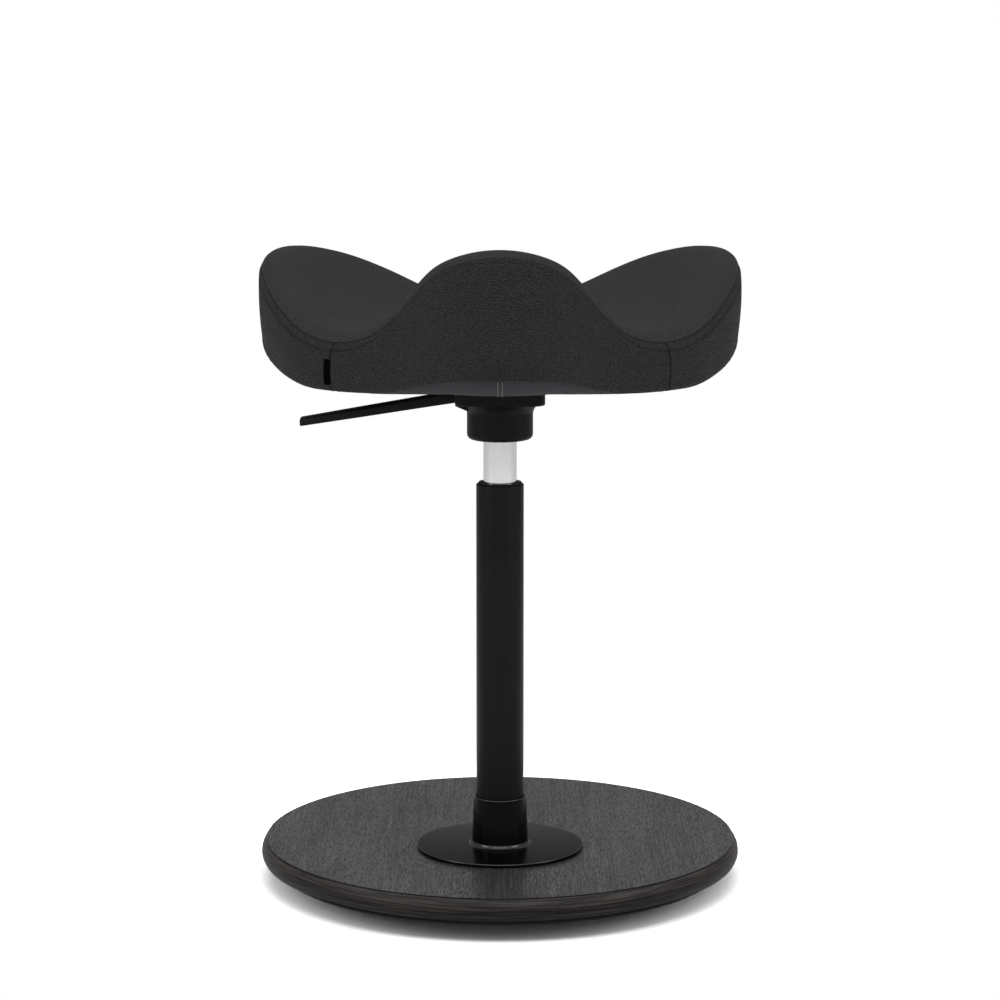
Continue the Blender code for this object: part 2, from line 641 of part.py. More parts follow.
def make_gas_cylinder(material, parent):
    lip = CHAMBER_RADIUS - 0.0028
    pin_hole = RELEASE_PIN_RADIUS + GAP
    edge = 0.0010
    top_radius = cylinder_outside(CYLINDER_TOP)
    profile = [(lip, CYLINDER_BOTTOM), (CYLINDER_RADIUS - edge, CYLINDER_BOTTOM),
               (CYLINDER_RADIUS, CYLINDER_BOTTOM + edge), (CYLINDER_RADIUS, CYLINDER_TOP - TAPER_LENGTH),
               (top_radius, CYLINDER_TOP - edge), (top_radius - edge, CYLINDER_TOP), (pin_hole, CYLINDER_TOP),
               (pin_hole, CHAMBER_TOP), (CHAMBER_RADIUS, CHAMBER_TOP),
               (CHAMBER_RADIUS, CYLINDER_BOTTOM + CYLINDER_LIP), (lip, CYLINDER_BOTTOM + CYLINDER_LIP)]
    return turned("gas_cylinder", profile, COLUMN_STEPS, material, (0, -COLUMN_OFFSET, 0), parent)


def make_cylinder_inserts(metal, rubber, parent):
    outer = CHAMBER_RADIUS - GAP
    bore = ROD_RADIUS + GAP
    guide = ring_profile(bore, outer, GUIDE_BOTTOM, GUIDE_BOTTOM + ROD_GUIDE_HEIGHT)
    turned("rod_guide", guide, 24, metal, (0, -COLUMN_OFFSET, 0), parent)
    seal = ring_profile(bore, outer, SEAL_BOTTOM, SEAL_BOTTOM + ROD_SEAL_HEIGHT)
    turned("rod_seal", seal, 24, rubber, (0, -COLUMN_OFFSET, 0), parent)
    pin_hole = RELEASE_PIN_RADIUS + GAP
    valve = ring_profile(pin_hole, outer, VALVE_TOP - VALVE_HEIGHT, VALVE_TOP)
    turned("valve_body", valve, 24, metal, (0, -COLUMN_OFFSET, 0), parent)


def make_release_pin(material, height_axis):
    axis = make_axis("release_pin_axis", (0, -COLUMN_OFFSET, RELEASE_PIN_BOTTOM), height_axis)
    length = RELEASE_PIN_TOP - RELEASE_PIN_BOTTOM
    edge = 0.0008
    profile = [(0, 0), (RELEASE_PIN_RADIUS, 0), (RELEASE_PIN_RADIUS, length - edge),
               (RELEASE_PIN_RADIUS - edge, length), (0, length)]
    turned("release_pin", profile, 12, material, (0, -COLUMN_OFFSET, RELEASE_PIN_BOTTOM), axis)


# Mechanism housing under the seat

def bolt_places():
    return [(x * BOLT_HALF_WIDTH, -COLUMN_OFFSET + y * BOLT_HALF_DEPTH) for x in (-1, 1) for y in (-1, 1)]


def lever_half_thickness(reach):
    """Half the lever's thickness at a distance from the pivot, outwards."""
    share = reach / (LEVER_TIP_REACH - LEVER_PIVOT_REACH)
    return (LEVER_ROOT_THICKNESS + (LEVER_TIP_THICKNESS - LEVER_ROOT_THICKNESS) * share) / 2


def lever_drop(reach):
    """How far the lever's middle line lies below the pivot, outwards."""
    return (LEVER_TIP_DROP - LEVER_PIVOT_DROP) * reach / (LEVER_TIP_REACH - LEVER_PIVOT_REACH)


def make_mechanism_housing(material, parent):
    rings = []
    low = HOUSING_BOTTOM
    edge = HOUSING_EDGE
    for inset, height in ((edge, low), (edge * 0.3, low + edge * 0.3), (0, low + edge), (0, HOUSING_TOP)):
        outline = rounded_outline(HOUSING_HALF_WIDTH - inset, HOUSING_HALF_DEPTH - inset,
                                  HOUSING_CORNER - inset, 5)
        rings.append([(x, y, height) for x, y in outline])
    housing = loft("mechanism_housing", rings, material, (0, -COLUMN_OFFSET, 0), parent)
    place = (0, -COLUMN_OFFSET, 0)
    shaped(housing, turned_set("housing_cup", [(cup_profile(), (0, 0))], COLUMN_STEPS, parent, place), "UNION")
    shaped(housing, make_lever_boss(parent), "UNION")
    shaped(housing, make_lever_channel(parent), "DIFFERENCE")
    shaped(housing, turned_set("housing_bore", [(housing_bore(), (0, 0))], 32, parent, place), "DIFFERENCE")
    shoulder = HOUSING_BOTTOM + BOLT_HEAD_HEIGHT + GAP
    head = BOLT_HEAD_RADIUS + THREAD_PLAY
    hole = [(0, HOUSING_BOTTOM - CUT_OVERSHOOT), (head, HOUSING_BOTTOM - CUT_OVERSHOOT), (head, shoulder),
            (BOLT_RADIUS + THREAD_PLAY, shoulder), (BOLT_RADIUS + THREAD_PLAY, HOUSING_TOP + CUT_OVERSHOOT),
            (0, HOUSING_TOP + CUT_OVERSHOOT)]
    holes = turned_set("housing_bolt_holes", [(hole, p) for p in bolt_places()], 12, parent)
    shaped(housing, holes, "DIFFERENCE")
    return shaped(housing, cross_hole("housing_pin_hole", LEVER_PIN_HALF_LENGTH + GAP, parent), "DIFFERENCE")


def cup_profile():
    profile = [(0, CUP_BOTTOM)]
    for i in range(4):
        turn = radians(90 * i / 3)
        profile.append((CUP_RADIUS - CUP_EDGE * (1 - sin(turn)), CUP_BOTTOM + CUP_EDGE * (1 - cos(turn))))
    profile += [(CUP_RADIUS, HOUSING_BOTTOM - CUP_FLARE), (CUP_RADIUS + CUP_FLARE, HOUSING_BOTTOM)]
    top = (HOUSING_BOTTOM + HOUSING_TOP) / 2
    return profile + [(CUP_RADIUS + CUP_FLARE, top), (0, top)]


def housing_bore():
    start = CYLINDER_TOP - TAPER_LENGTH
    top = CYLINDER_TOP + GAP
    low = CUP_BOTTOM - CUT_OVERSHOOT
    wide = CYLINDER_RADIUS + GAP
    return [(0, low), (wide, low), (wide, start), (cylinder_outside(CYLINDER_TOP) + GAP, top), (0, top)]


def prism(name, outline, half_width, parent, place):
    """An outline in the X-Z plane drawn out along Y both ways."""
    rings = [[(x, side * half_width, z) for x, z in outline] for side in (-1, 1)]
    return loft(name, rings, None, place, parent)


def make_lever_boss(parent):
    left = -HOUSING_HALF_WIDTH
    low = HOUSING_BOTTOM - LEVER_BOSS_LIP
    inner = left + LEVER_BOSS_RUN
    top = (HOUSING_BOTTOM + HOUSING_TOP) / 2
    outline = [(left, low), (inner, low - LEVER_BOSS_DROP), (inner + LEVER_BOSS_LENGTH, low - LEVER_BOSS_DROP),
               (inner + LEVER_BOSS_LENGTH, top), (left, top)]
    half_width = CHANNEL_HALF_WIDTH + CHANNEL_WALL
    return prism("housing_lever_boss", outline, half_width, parent, (0, -COLUMN_OFFSET, 0))


def make_lever_channel(parent):
    """Room for the lever: open at the top and to the left, its floor sloping with the lever."""
    mouth = HOUSING_HALF_WIDTH - LEVER_PIVOT_REACH + CHANNEL_MOUTH_REACH
    far_floor = PIVOT_Z - lever_drop(mouth) - lever_half_thickness(mouth) - LEVER_SLACK
    near_floor = PIVOT_Z - lever_half_thickness(0) - LEVER_SLACK
    cylinder_top = CYLINDER_TOP + GAP
    open_top = HOUSING_TOP + CUT_OVERSHOOT
    end = PIVOT_X + LEVER_PIVOT_REACH + LEVER_NOSE_REACH + CHANNEL_END_ROOM
    outline = [(PIVOT_X - mouth, far_floor), (PIVOT_X, near_floor), (PIVOT_X + CHANNEL_RAMP, cylinder_top),
               (end, cylinder_top), (end, open_top), (PIVOT_X - mouth, open_top)]
    return prism("housing_lever_channel", outline, CHANNEL_HALF_WIDTH, parent, (0, -COLUMN_OFFSET, 0))


def cross_hole(name, half_length, parent):
    """A round tool along Y through the lever's pivot."""
    radius = LEVER_PIN_RADIUS + GAP
    count = 12
    rings = [[(radius * cos(2 * pi * i / count), y, radius * sin(2 * pi * i / count)) for i in range(count)]
             for y in (-half_length, half_length)]
    return loft(name, rings, None, (PIVOT_X, -COLUMN_OFFSET, PIVOT_Z), parent)


# Lever and its pin

def lever_section(x, z, half_thickness, half_width):
    corner = min(half_thickness, half_width) * 0.35
    outline = rounded_outline(half_width, half_thickness, corner, 3)
    return [(x, across, z + up) for across, up in outline]


def make_lever(material, pivot):
    length = LEVER_TIP_REACH - LEVER_PIVOT_REACH
    tip_drop = lever_drop(length)
    rings = []
    for inset, thick, wide in LEVER_TIP_RINGS:
        end = LEVER_TIP_ROUNDING * inset - length
        rings.append(lever_section(end, -tip_drop, LEVER_TIP_THICKNESS * thick, LEVER_TIP_HALF_WIDTH * wide))
    for share in LEVER_SECTIONS:
        reach = length * share
        blend = min(1.0, max(0.0, (share - 0.12) / 0.6))
        half_width = LEVER_ROOT_HALF_WIDTH + (LEVER_TIP_HALF_WIDTH - LEVER_ROOT_HALF_WIDTH) * blend
        rings.append(lever_section(-reach, -lever_drop(reach), lever_half_thickness(reach), half_width))
    nose_middle = NOSE_BOTTOM + LEVER_NOSE_THICKNESS / 2 - PIVOT_Z
    for reach in (0.0085, LEVER_PIVOT_REACH + LEVER_NOSE_REACH):
        rings.append(lever_section(reach, nose_middle, LEVER_NOSE_THICKNESS / 2, LEVER_ROOT_HALF_WIDTH * 0.8))
    lever = loft("lever", rings, material, (PIVOT_X, -COLUMN_OFFSET, PIVOT_Z), pivot)
    hole = cross_hole("lever_pin_hole", LEVER_PIN_HALF_LENGTH + CUT_OVERSHOOT, pivot)
    return shaped(lever, hole, "DIFFERENCE")


def make_lever_pin(material, parent):
    radius = LEVER_PIN_RADIUS
    count = 12
    edge = 0.0005
    rings = []
    for y, size in ((-1, radius - edge), (-1 + edge / LEVER_PIN_HALF_LENGTH, radius),
                    (1 - edge / LEVER_PIN_HALF_LENGTH, radius), (1, radius - edge)):
        along = y * LEVER_PIN_HALF_LENGTH
        rings.append([(size * cos(2 * pi * i / count), along, size * sin(2 * pi * i / count))
                      for i in range(count)])
    return loft("lever_pin", rings, material, (PIVOT_X, -COLUMN_OFFSET, PIVOT_Z), parent)


# Seat form: every seat piece is read from the same section, drawn in by its own depth

def near(turn, angle, width):
    """1 at this angle from the front, on either side, and 0 well away from it; in degrees."""
    away = abs((degrees(turn) + 180) % 360 - 180) - angle
    return exp(-(away / width) ** 2)


def rim_radius(turn):
    return (SEAT_RADIUS + WING_REACH * near(turn, *WING_SPAN)
            + LOBE_REACH * cos(3 * turn) - FLANK_REACH * cos(2 * turn) - REAR_EXTENSION * cos(turn)
            + WAIST_SHARPNESS * cos(4 * turn) + LOBE_ROUNDNESS * cos(6 * turn))


def rim_rise(turn):
    return (RIM_MEAN_RISE + SHOULDER_RISE * near(turn, *SHOULDER_SPAN) + LOBE_LIFT * near(turn, *LOBE_SPAN)
            + LOBE_RISE * cos(3 * turn) + FRONT_REAR_RISE * cos(2 * turn) + FRONT_TILT * cos(turn)
            + WAIST_RISE * cos(4 * turn) + LOBE_CREST * cos(6 * turn))


def rim_slope(turn):
    """How steeply the top seam climbs along its own way around."""
    step = 0.01
    climb = rim_rise(turn + step) - rim_rise(turn - step)
    outward = rim_radius(turn + step) - rim_radius(turn - step)
    return climb / hypot(outward, 2 * step * rim_radius(turn))


def hem_turn(turn):
    """How far up the curl the leather's lower edge lies: it arches at the front."""
    away = min(turn % (2 * pi), 2 * pi - turn % (2 * pi))
    arch = exp(-(away / radians(HEM_ARCH_WIDTH)) ** 4)
    return radians(HEM_ANGLE + HEM_ARCH * arch)


HEM = 3      # section points: where the lining meets the leather
SHELL_EDGE = 5
SEAM = 8     # where the sides meet the top
CROWN_SHARES = (0.985, 0.95, 0.89, 0.78, 0.60, 0.40, 0.20, 0)
MIDDLE = SEAM + len(CROWN_SHARES)


def seat_outline(turn):
    """The outer section from the middle of the underside, up the side and over to the middle of the top."""
    rim = rim_radius(turn)
    rise = rim_rise(turn)
    lobe = max(rise - CURL_LOW_RISE, 0)
    curl_rise = max(CURL_HEIGHT_RATE * lobe, CURL_LEAST_HEIGHT)
    curl_width = min(max(CURL_WIDTH_RATE * lobe, CURL_LEAST_WIDTH), CURL_WIDEST * rim)
    curl_width = min(curl_width, rim - SIDE_TAPER - FLAT_REACH)
    flat = rim - SIDE_TAPER - curl_width
    bend = 2 / CURL_SQUARENESS
    hem = hem_turn(turn)
    section = [(0, 0), (flat * 0.55, 0), (flat, 0)]
    for share in (0, 1 / 3, 2 / 3, 1):
        up = hem + (pi / 2 - hem) * share
        section.append((flat + curl_width * sin(up) ** bend, curl_rise * (1 - abs(cos(up)) ** bend)))
    for share in (0.5, 1):
        bulge = SIDE_BULGE * 4 * share * (1 - share) - SIDE_TAPER * (1 - share)
        section.append((rim + bulge, curl_rise + (rise - curl_rise) * share))
    for share in CROWN_SHARES:
        saddle = SADDLE_RISE + (rise - SADDLE_RISE) * sin(pi / 2 * share ** SADDLE_POWER)
        climb = share * rim_slope(turn)
        crown = CROWN_HEIGHT * (1 + CROWN_SLOPE_GAIN * climb ** 2) * (1 - share ** CROWN_POWER)
        section.append((rim * share, saddle + crown))
    return section


def seat_section(turn, depth, extra=0.0):
    """The outline drawn in by a depth, square to itself. The shell's extra depth thins out to its edge."""
    outline = [Vector(point) for point in seat_outline(turn)]
    drawn = [(0.0, outline[0].y + depth + extra)]
    for k, (before, point, after) in enumerate(zip(outline, outline[1:], outline[2:]), 1):
        arriving = (point - before).normalized()
        leaving = (after - point).normalized()
        inward = Vector((-arriving.y - leaving.y, arriving.x + leaving.x)) / (1 + arriving.dot(leaving))
        share = SHELL_TAPER[k] if k < len(SHELL_TAPER) else 0
        drawn.append(tuple(point + inward * (depth + extra * share)))
    return drawn + [(0.0, outline[-1].y - depth)]


def seat_sweep(name, turns, closed, loop_at, material, parent, layered=True):
    """Joins section loops around the seat. A loop is a list of (radius, height); a point on the axis
    is shared by all of them. A layer's loop goes out along one face and back along the other, and its
    triangles are split alike on both. An open sweep is capped across its own thickness."""
    points = []
    poles = {}
    rows = []
    for turn in turns:
        row = []
        loop = loop_at(turn)
        for k, (radius, height) in enumerate(loop):
            if radius < 1e-9:
                if k not in poles:
                    poles[k] = len(points)
                    points.append((0, 0, height))
                row.append(poles[k])
            else:
                row.append(len(points))
                points.append((-radius * sin(turn), -radius * cos(turn), height))
        rows.append(row)
    count = len(rows[0])
    turn_back = count // 2 if layered else count
    faces = []
    for i in range(len(rows) if closed else len(rows) - 1):
        here = rows[i]
        there = rows[(i + 1) % len(rows)]
        for k in range(count):
            n = (k + 1) % count
            if k < turn_back:
                halves = [here[k], here[n], there[n]], [here[k], there[n], there[k]]
            else:
                halves = [here[k], here[n], there[k]], [here[n], there[n], there[k]]
            for half in halves:
                if len(set(half)) == 3:
                    faces.append(half)
    if not closed:
        for row in (rows[0], rows[-1]):
            for k in range(count // 2 - 1):
                faces.append([row[k], row[k + 1], row[count - 2 - k], row[count - 1 - k]])
    return mesh_piece(name, points, faces, material, (0, SEAT_CENTRE, SEAT_UNDERSIDE), parent)


def full_turns():
    return [2 * pi * i / SEAT_STEPS for i in range(SEAT_STEPS)]


def part_turns(first, last):
    """Turns between two angles in degrees, with the slit of a seam left at both ends."""
    slit = SEAM_WIDTH / 2 / rim_radius(radians(first))
    steps = round((last - first) / 360 * SEAT_STEPS)
    turns = [radians(first + (last - first) * i / steps) for i in range(steps + 1)]
    turns[0] += slit
    turns[-1] -= slit
    return turns


def layer_loop(first, last, shallow, thickness, trim_first=0.0, trim_last=0.0, extra=0.0):
    """A layer of the section at a depth, from one section point to another."""
    def trimmed(section):
        part = [Vector(point) for point in section[first:last + 1]]
        if trim_first:
            part[0] += (part[1] - part[0]).normalized() * trim_first
        if trim_last:
            part[-1] += (part[-2] - part[-1]).normalized() * trim_last
        return [tuple(point) for point in part]

    def loop(turn):
        outer = trimmed(seat_section(turn, shallow))
        inner = trimmed(seat_section(turn, shallow + thickness, extra))
        return outer + inner[::-1]
    return loop


def make_seat_covers(leather, parent):
    top = layer_loop(SEAM, MIDDLE, 0.0, LEATHER, trim_first=SEAM_WIDTH / 2)
    seat_sweep("cover_top", full_turns(), True, top, leather, parent)
    side = layer_loop(HEM, SEAM, 0.0, LEATHER, trim_first=SEAM_WIDTH / 2, trim_last=SEAM_WIDTH + LEATHER)
    front = part_turns(-SIDE_SEAM_ANGLE, SIDE_SEAM_ANGLE)
    seat_sweep("cover_front_band", front, False, side, leather, parent)
    rear = part_turns(SIDE_SEAM_ANGLE, 360 - SIDE_SEAM_ANGLE)
    return seat_sweep("cover_rear_band", rear, False, side, leather, parent)


def make_underside_lining(material, parent):
    layer = layer_loop(0, HEM, 0.0, LINING, trim_last=SEAM_WIDTH / 2)
    lining = seat_sweep("underside_lining", full_turns(), True, layer, material, parent)
    hole = plug(TEE_BARREL_RADIUS + GAP, SEAT_UNDERSIDE - CUT_OVERSHOOT, SEAT_UNDERSIDE + CUT_OVERSHOOT)
    tool = turned_set("lining_holes", [(hole, p) for p in bolt_places()], 12, parent)
    return shaped(lining, tool, "DIFFERENCE")


def make_seat_shell(material, parent):
    layer = layer_loop(0, SHELL_EDGE, LEATHER + GAP, 0.0, extra=SHELL_THICKNESS)
    shell = seat_sweep("seat_shell", full_turns(), True, layer, material, parent)
    top = SEAT_UNDERSIDE + LEATHER + GAP + SHELL_THICKNESS
    sunk = top - TEE_FLANGE_THICKNESS - GAP
    low = SEAT_UNDERSIDE - CUT_OVERSHOOT
    high = top + CUT_OVERSHOOT
    hole = [(0, low), (TEE_BARREL_RADIUS + GAP, low), (TEE_BARREL_RADIUS + GAP, sunk),
            (TEE_FLANGE_RADIUS + GAP, sunk), (TEE_FLANGE_RADIUS + GAP, high), (0, high)]
    tool = turned_set("shell_holes", [(hole, p) for p in bolt_places()], 12, parent)
    return shaped(shell, tool, "DIFFERENCE")


def make_seat_foam(material, parent):
    skin = LEATHER + GAP

    def loop(turn):
        over_shell = seat_section(turn, skin + GAP, SHELL_THICKNESS)
        return over_shell[:SHELL_EDGE + 1] + seat_section(turn, skin)[SHELL_EDGE + 1:]
    return seat_sweep("seat_foam", full_turns(), True, loop, material, parent, layered=False)


def make_seat_fixings(steel, parent):
    low = HOUSING_BOTTOM + BOLT_HEAD_HEIGHT
    tip = SEAT_UNDERSIDE + LEATHER + GAP + SHELL_THICKNESS - BOLT_TIP_SUNK
    socket = BOLT_HEAD_RADIUS * 0.4
    bolt = [(0, low - BOLT_HEAD_HEIGHT + BOLT_SOCKET), (socket, low - BOLT_HEAD_HEIGHT + BOLT_SOCKET),
            (socket, low - BOLT_HEAD_HEIGHT), (BOLT_HEAD_RADIUS * 0.7, low - BOLT_HEAD_HEIGHT),
            (BOLT_HEAD_RADIUS, low - BOLT_HEAD_HEIGHT * 0.35), (BOLT_HEAD_RADIUS, low), (BOLT_RADIUS, low),
            (BOLT_RADIUS, tip), (0, tip)]
    top = SEAT_UNDERSIDE + LEATHER + GAP + SHELL_THICKNESS
    barrel_low = SEAT_UNDERSIDE + LINING + 2 * GAP
    bore = BOLT_RADIUS + GAP
    tee = [(bore, barrel_low), (TEE_BARREL_RADIUS, barrel_low), (TEE_BARREL_RADIUS, top - TEE_FLANGE_THICKNESS),
           (TEE_FLANGE_RADIUS, top - TEE_FLANGE_THICKNESS), (TEE_FLANGE_RADIUS, top), (bore, top)]
    for number, (x, y) in enumerate(bolt_places(), 1):
        turned(f"seat_bolt_{number}", bolt, 12, steel, (x, y, 0), parent)
        turned(f"tee_nut_{number}", tee, 12, steel, (x, y, 0), parent)


def make_seat_tag(band, material, parent):
    """A bare tab that comes out of the left side seam and hangs down the rear band."""
    seam = radians(SIDE_SEAM_ANGLE)
    high = rim_rise(seam) - TAG_DROP
    surface = BVHTree.FromPolygons([v.co for v in band.data.vertices], [p.vertices for p in band.data.polygons])
    first = seam + 2 * SEAM_WIDTH / rim_radius(seam)
    last = first + TAG_WIDTH / rim_radius(seam)
    rings = []
    for turn in (first, (first + last) / 2, last):
        outward = Vector((-sin(turn), -cos(turn), 0))
        near = []
        reach = 0
        for i in range(6):
            drop = Vector((0, 0, high - TAG_HEIGHT * i / 5))
            hit = surface.ray_cast(outward + drop, -outward)[0]
            reach = max(reach, hit.dot(outward) + 2 * GAP)
            near.append(outward * reach + drop)
        rings.append([tuple(spot) for spot in near + [spot + outward * TAG_THICKNESS for spot in near[::-1]]])
    return loft("seat_tag", rings, material, (0, SEAT_CENTRE, SEAT_UNDERSIDE), parent)


# The stool

def build():
    clear_scene()
    wood = make_material("black_stained_ash", (0.060, 0.056, 0.055), 0.45)
    rubber = make_material("black_rubber", (0.020, 0.020, 0.020), 0.80)
    painted = make_material("black_powder_coat", (0.012, 0.012, 0.013), 0.38)
    plastic = make_material("black_plastic", (0.015, 0.015, 0.016), 0.45)
    silver = make_material("satin_chrome", (0.72, 0.73, 0.74), 0.25, 1.0)
    steel = make_material("zinc_steel", (0.55, 0.55, 0.56), 0.35, 1.0)
    leather = make_material("black_leather", (0.032, 0.032, 0.034), 0.50)
    lining = make_material("dark_lining_cloth", (0.045, 0.047, 0.058), 0.90)
    plywood = make_material("beech_plywood", (0.55, 0.38, 0.22), 0.60)
    foam = make_material("cushion_foam", (0.70, 0.66, 0.52), 0.95)
    ribbon = make_material("black_ribbon", (0.010, 0.010, 0.010), 0.70)

    base = make_axis("base_frame", (0, 0, 0))
    swivel = make_axis("swivel_axis", (0, -COLUMN_OFFSET, UPPER_RACE_BOTTOM), base)
    height = make_axis("height_axis", (0, -COLUMN_OFFSET, CYLINDER_BOTTOM), swivel)
    pivot = make_axis("lever_axis", (PIVOT_X, -COLUMN_OFFSET, PIVOT_Z), height)

    make_base_board(wood, base)
    make_base_tread(rubber, base)
    make_foot_socket(painted, base)
    make_base_screws(steel, base)
    make_column_tube(painted, base)
    make_guide_bush(plastic, base)
    make_tube_base_plate(steel, base)
    make_bearing(steel, plastic, base, swivel)
    make_piston_rod(steel, swivel)
    make_rod_end(steel, swivel)
    make_rubber_buffer(rubber, swivel)
    make_piston(steel, rubber, steel, swivel)
    make_gas_cylinder(silver, height)
    make_cylinder_inserts(steel, rubber, height)
    make_release_pin(steel, height)
    make_mechanism_housing(painted, height)
    make_lever(plastic, pivot)
    make_lever_pin(steel, height)
    rear_band = make_seat_covers(leather, height)
    make_underside_lining(lining, height)
    make_seat_shell(plywood, height)
    make_seat_foam(foam, height)
    make_seat_fixings(steel, height)
    make_seat_tag(rear_band, ribbon, height)


build()
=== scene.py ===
import bpy
import bmesh
import json
import numpy as np
from math import degrees, cos, exp, hypot, pi, radians, sin, sqrt, tan
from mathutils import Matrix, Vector, noise


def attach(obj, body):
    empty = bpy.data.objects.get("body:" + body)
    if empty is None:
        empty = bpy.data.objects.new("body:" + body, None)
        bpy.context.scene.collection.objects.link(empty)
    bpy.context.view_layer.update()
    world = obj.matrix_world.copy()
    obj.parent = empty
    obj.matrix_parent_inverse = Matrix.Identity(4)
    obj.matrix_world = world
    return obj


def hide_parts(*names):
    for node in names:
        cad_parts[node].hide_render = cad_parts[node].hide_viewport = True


# Sit-stand stool, dressed. Everything is in metres in the frame of the CAD parts: the front is -Y.
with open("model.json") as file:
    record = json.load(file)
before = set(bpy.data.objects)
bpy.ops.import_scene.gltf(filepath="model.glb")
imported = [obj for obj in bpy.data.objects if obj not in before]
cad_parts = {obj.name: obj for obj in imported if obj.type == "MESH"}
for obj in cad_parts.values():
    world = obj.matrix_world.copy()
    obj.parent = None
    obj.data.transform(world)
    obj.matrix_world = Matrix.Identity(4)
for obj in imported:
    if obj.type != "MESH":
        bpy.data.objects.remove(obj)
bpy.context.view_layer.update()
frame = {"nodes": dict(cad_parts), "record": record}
print("frame loaded")

columnY = -0.0525
seatBody = "seat"
baseBody = "base"


# Shader helpers

def emptyTree(owner):
    owner.use_nodes = True
    owner.node_tree.nodes.clear()
    return owner.node_tree


def newShader(name):
    made = bpy.data.materials.new(name)
    tree = emptyTree(made)
    surface = tree.nodes.new("ShaderNodeBsdfPrincipled")
    addNode(tree, "ShaderNodeOutputMaterial", {"Surface": surface.outputs[0]})
    return made, tree, surface


def feed(tree, socket, value):
    if isinstance(value, bpy.types.NodeSocket):
        tree.links.new(value, socket)
    elif socket.type == "RGBA" and len(value) == 3:
        socket.default_value = (*value, 1.0)
    else:
        socket.default_value = value


def addNode(tree, kind, inputs=(), **settings):
    made = tree.nodes.new(kind)
    for key, value in settings.items():
        setattr(made, key, value)
    for key, value in dict(inputs).items():
        feed(tree, made.inputs[key], value)
    return made


def mathOf(tree, operation, *values):
    return addNode(tree, "ShaderNodeMath", dict(enumerate(values)), operation=operation).outputs[0]


def place(tree, scale=(1, 1, 1)):
    here = addNode(tree, "ShaderNodeTexCoord")
    return addNode(tree, "ShaderNodeMapping", {"Vector": here.outputs["Object"], "Scale": scale}).outputs[0]


def noiseOf(tree, where, scale, detail=3.0, rough=0.55, distortion=0.0):
    made = addNode(tree, "ShaderNodeTexNoise", {"Vector": where, "Scale": scale, "Detail": detail,
                                               "Roughness": rough, "Distortion": distortion})
    return made.outputs["Fac"]


def ramp(tree, value, low, high, toLow=0.0, toHigh=1.0):
    made = addNode(tree, "ShaderNodeMapRange", {"Value": value, "From Min": low, "From Max": high,
                                                "To Min": toLow, "To Max": toHigh})
    return made.outputs[0]


def mixColour(tree, share, first, second):
    return addNode(tree, "ShaderNodeMix", {0: share, 6: first, 7: second}, data_type="RGBA").outputs[2]


def bump(tree, height, strength, distance, normal=None):
    inputs = {"Height": height, "Strength": strength, "Distance": distance}
    if normal is not None:
        inputs["Normal"] = normal
    return addNode(tree, "ShaderNodeBump", inputs).outputs[0]


def wire(tree, surface, **sockets):
    names = {"colour": "Base Color", "rough": "Roughness", "normal": "Normal", "metal": "Metallic",
             "specular": "Specular IOR Level", "sheen": "Sheen Weight", "sheenRough": "Sheen Roughness"}
    for key, value in sockets.items():
        feed(tree, surface.inputs[names[key]], value)


# Materials

leather = {
    "stirScale": 0.6, "stir": 0.22, "fineScale": 2.4, "fine": 0.06, "dome": 0.30, "grainLift": 0.0013,
    # lighter and shade set the painted highlight on the pebble tops and the painted shade in the creases
    "broadScale": 14.0, "broadLift": 0.0012, "lighter": 1.2, "shade": (0.04, 0.45), "rough": (0.55, 0.66),
}


def leatherShader(name, colour, pebble, strength, paintedCreaseShade, flatness):
    # pebble is the number of pebbles in a metre; flatness squeezes them in height
    made, tree, surface = newShader(name)
    where = place(tree, (1, 1, flatness))
    stir = addNode(tree, "ShaderNodeTexNoise",
                   {"Vector": where, "Scale": pebble * leather["stirScale"], "Detail": 2.0})
    moved = addNode(tree, "ShaderNodeVectorMath",
                    {0: stir.outputs["Color"], 1: (leather["stir"] / pebble,) * 3, 2: where},
                    operation="MULTIPLY_ADD")
    cells = addNode(tree, "ShaderNodeTexVoronoi",
                    {"Vector": moved.outputs[0], "Scale": pebble, "Randomness": 1.0},
                    feature="DISTANCE_TO_EDGE")
    fine = noiseOf(tree, where, pebble * leather["fineScale"], 3.0, 0.6)
    broad = noiseOf(tree, where, leather["broadScale"], 3.0, 0.5)
    domes = ramp(tree, cells.outputs["Distance"], 0.0, leather["dome"])
    pebbleReliefAndShade = mathOf(tree, "MULTIPLY_ADD", fine, leather["fine"], domes)
    # painted shade and highlight: the colour darkens the creases between the pebbles and lightens the pebble
    # tops, following the same relief as the bump
    darker = tuple(c * paintedCreaseShade for c in colour)
    lighter = tuple(c * leather["lighter"] for c in colour)
    swell = bump(tree, broad, 0.25, leather["broadLift"])
    wire(tree, surface, colour=mixColour(tree, ramp(tree, pebbleReliefAndShade, *leather["shade"]), darker, lighter),
         rough=ramp(tree, broad, 0.3, 0.7, *leather["rough"]), specular=0.07, sheen=0.01, sheenRough=0.5,
         normal=bump(tree, pebbleReliefAndShade, strength, leather["grainLift"], swell))
    return made


def clothShader(name, colour, light, threads, specular=0.10, sheen=0.06):
    made, tree, surface = newShader(name)
    where = place(tree)
    across, along = (addNode(tree, "ShaderNodeTexWave",
                             {"Vector": where, "Scale": threads, "Distortion": 0.6, "Detail": 1.0},
                             wave_type="BANDS", bands_direction=way).outputs["Fac"] for way in "XY")
    fleck = noiseOf(tree, where, threads * 3.0, 3.0, 0.65)
    wire(tree, surface, colour=mixColour(tree, ramp(tree, fleck, 0.35, 0.68), colour, light), rough=0.92,
         normal=bump(tree, mathOf(tree, "MULTIPLY", across, along), 0.55, 0.0003),
         specular=specular, sheen=sheen, sheenRough=0.6)
    return made


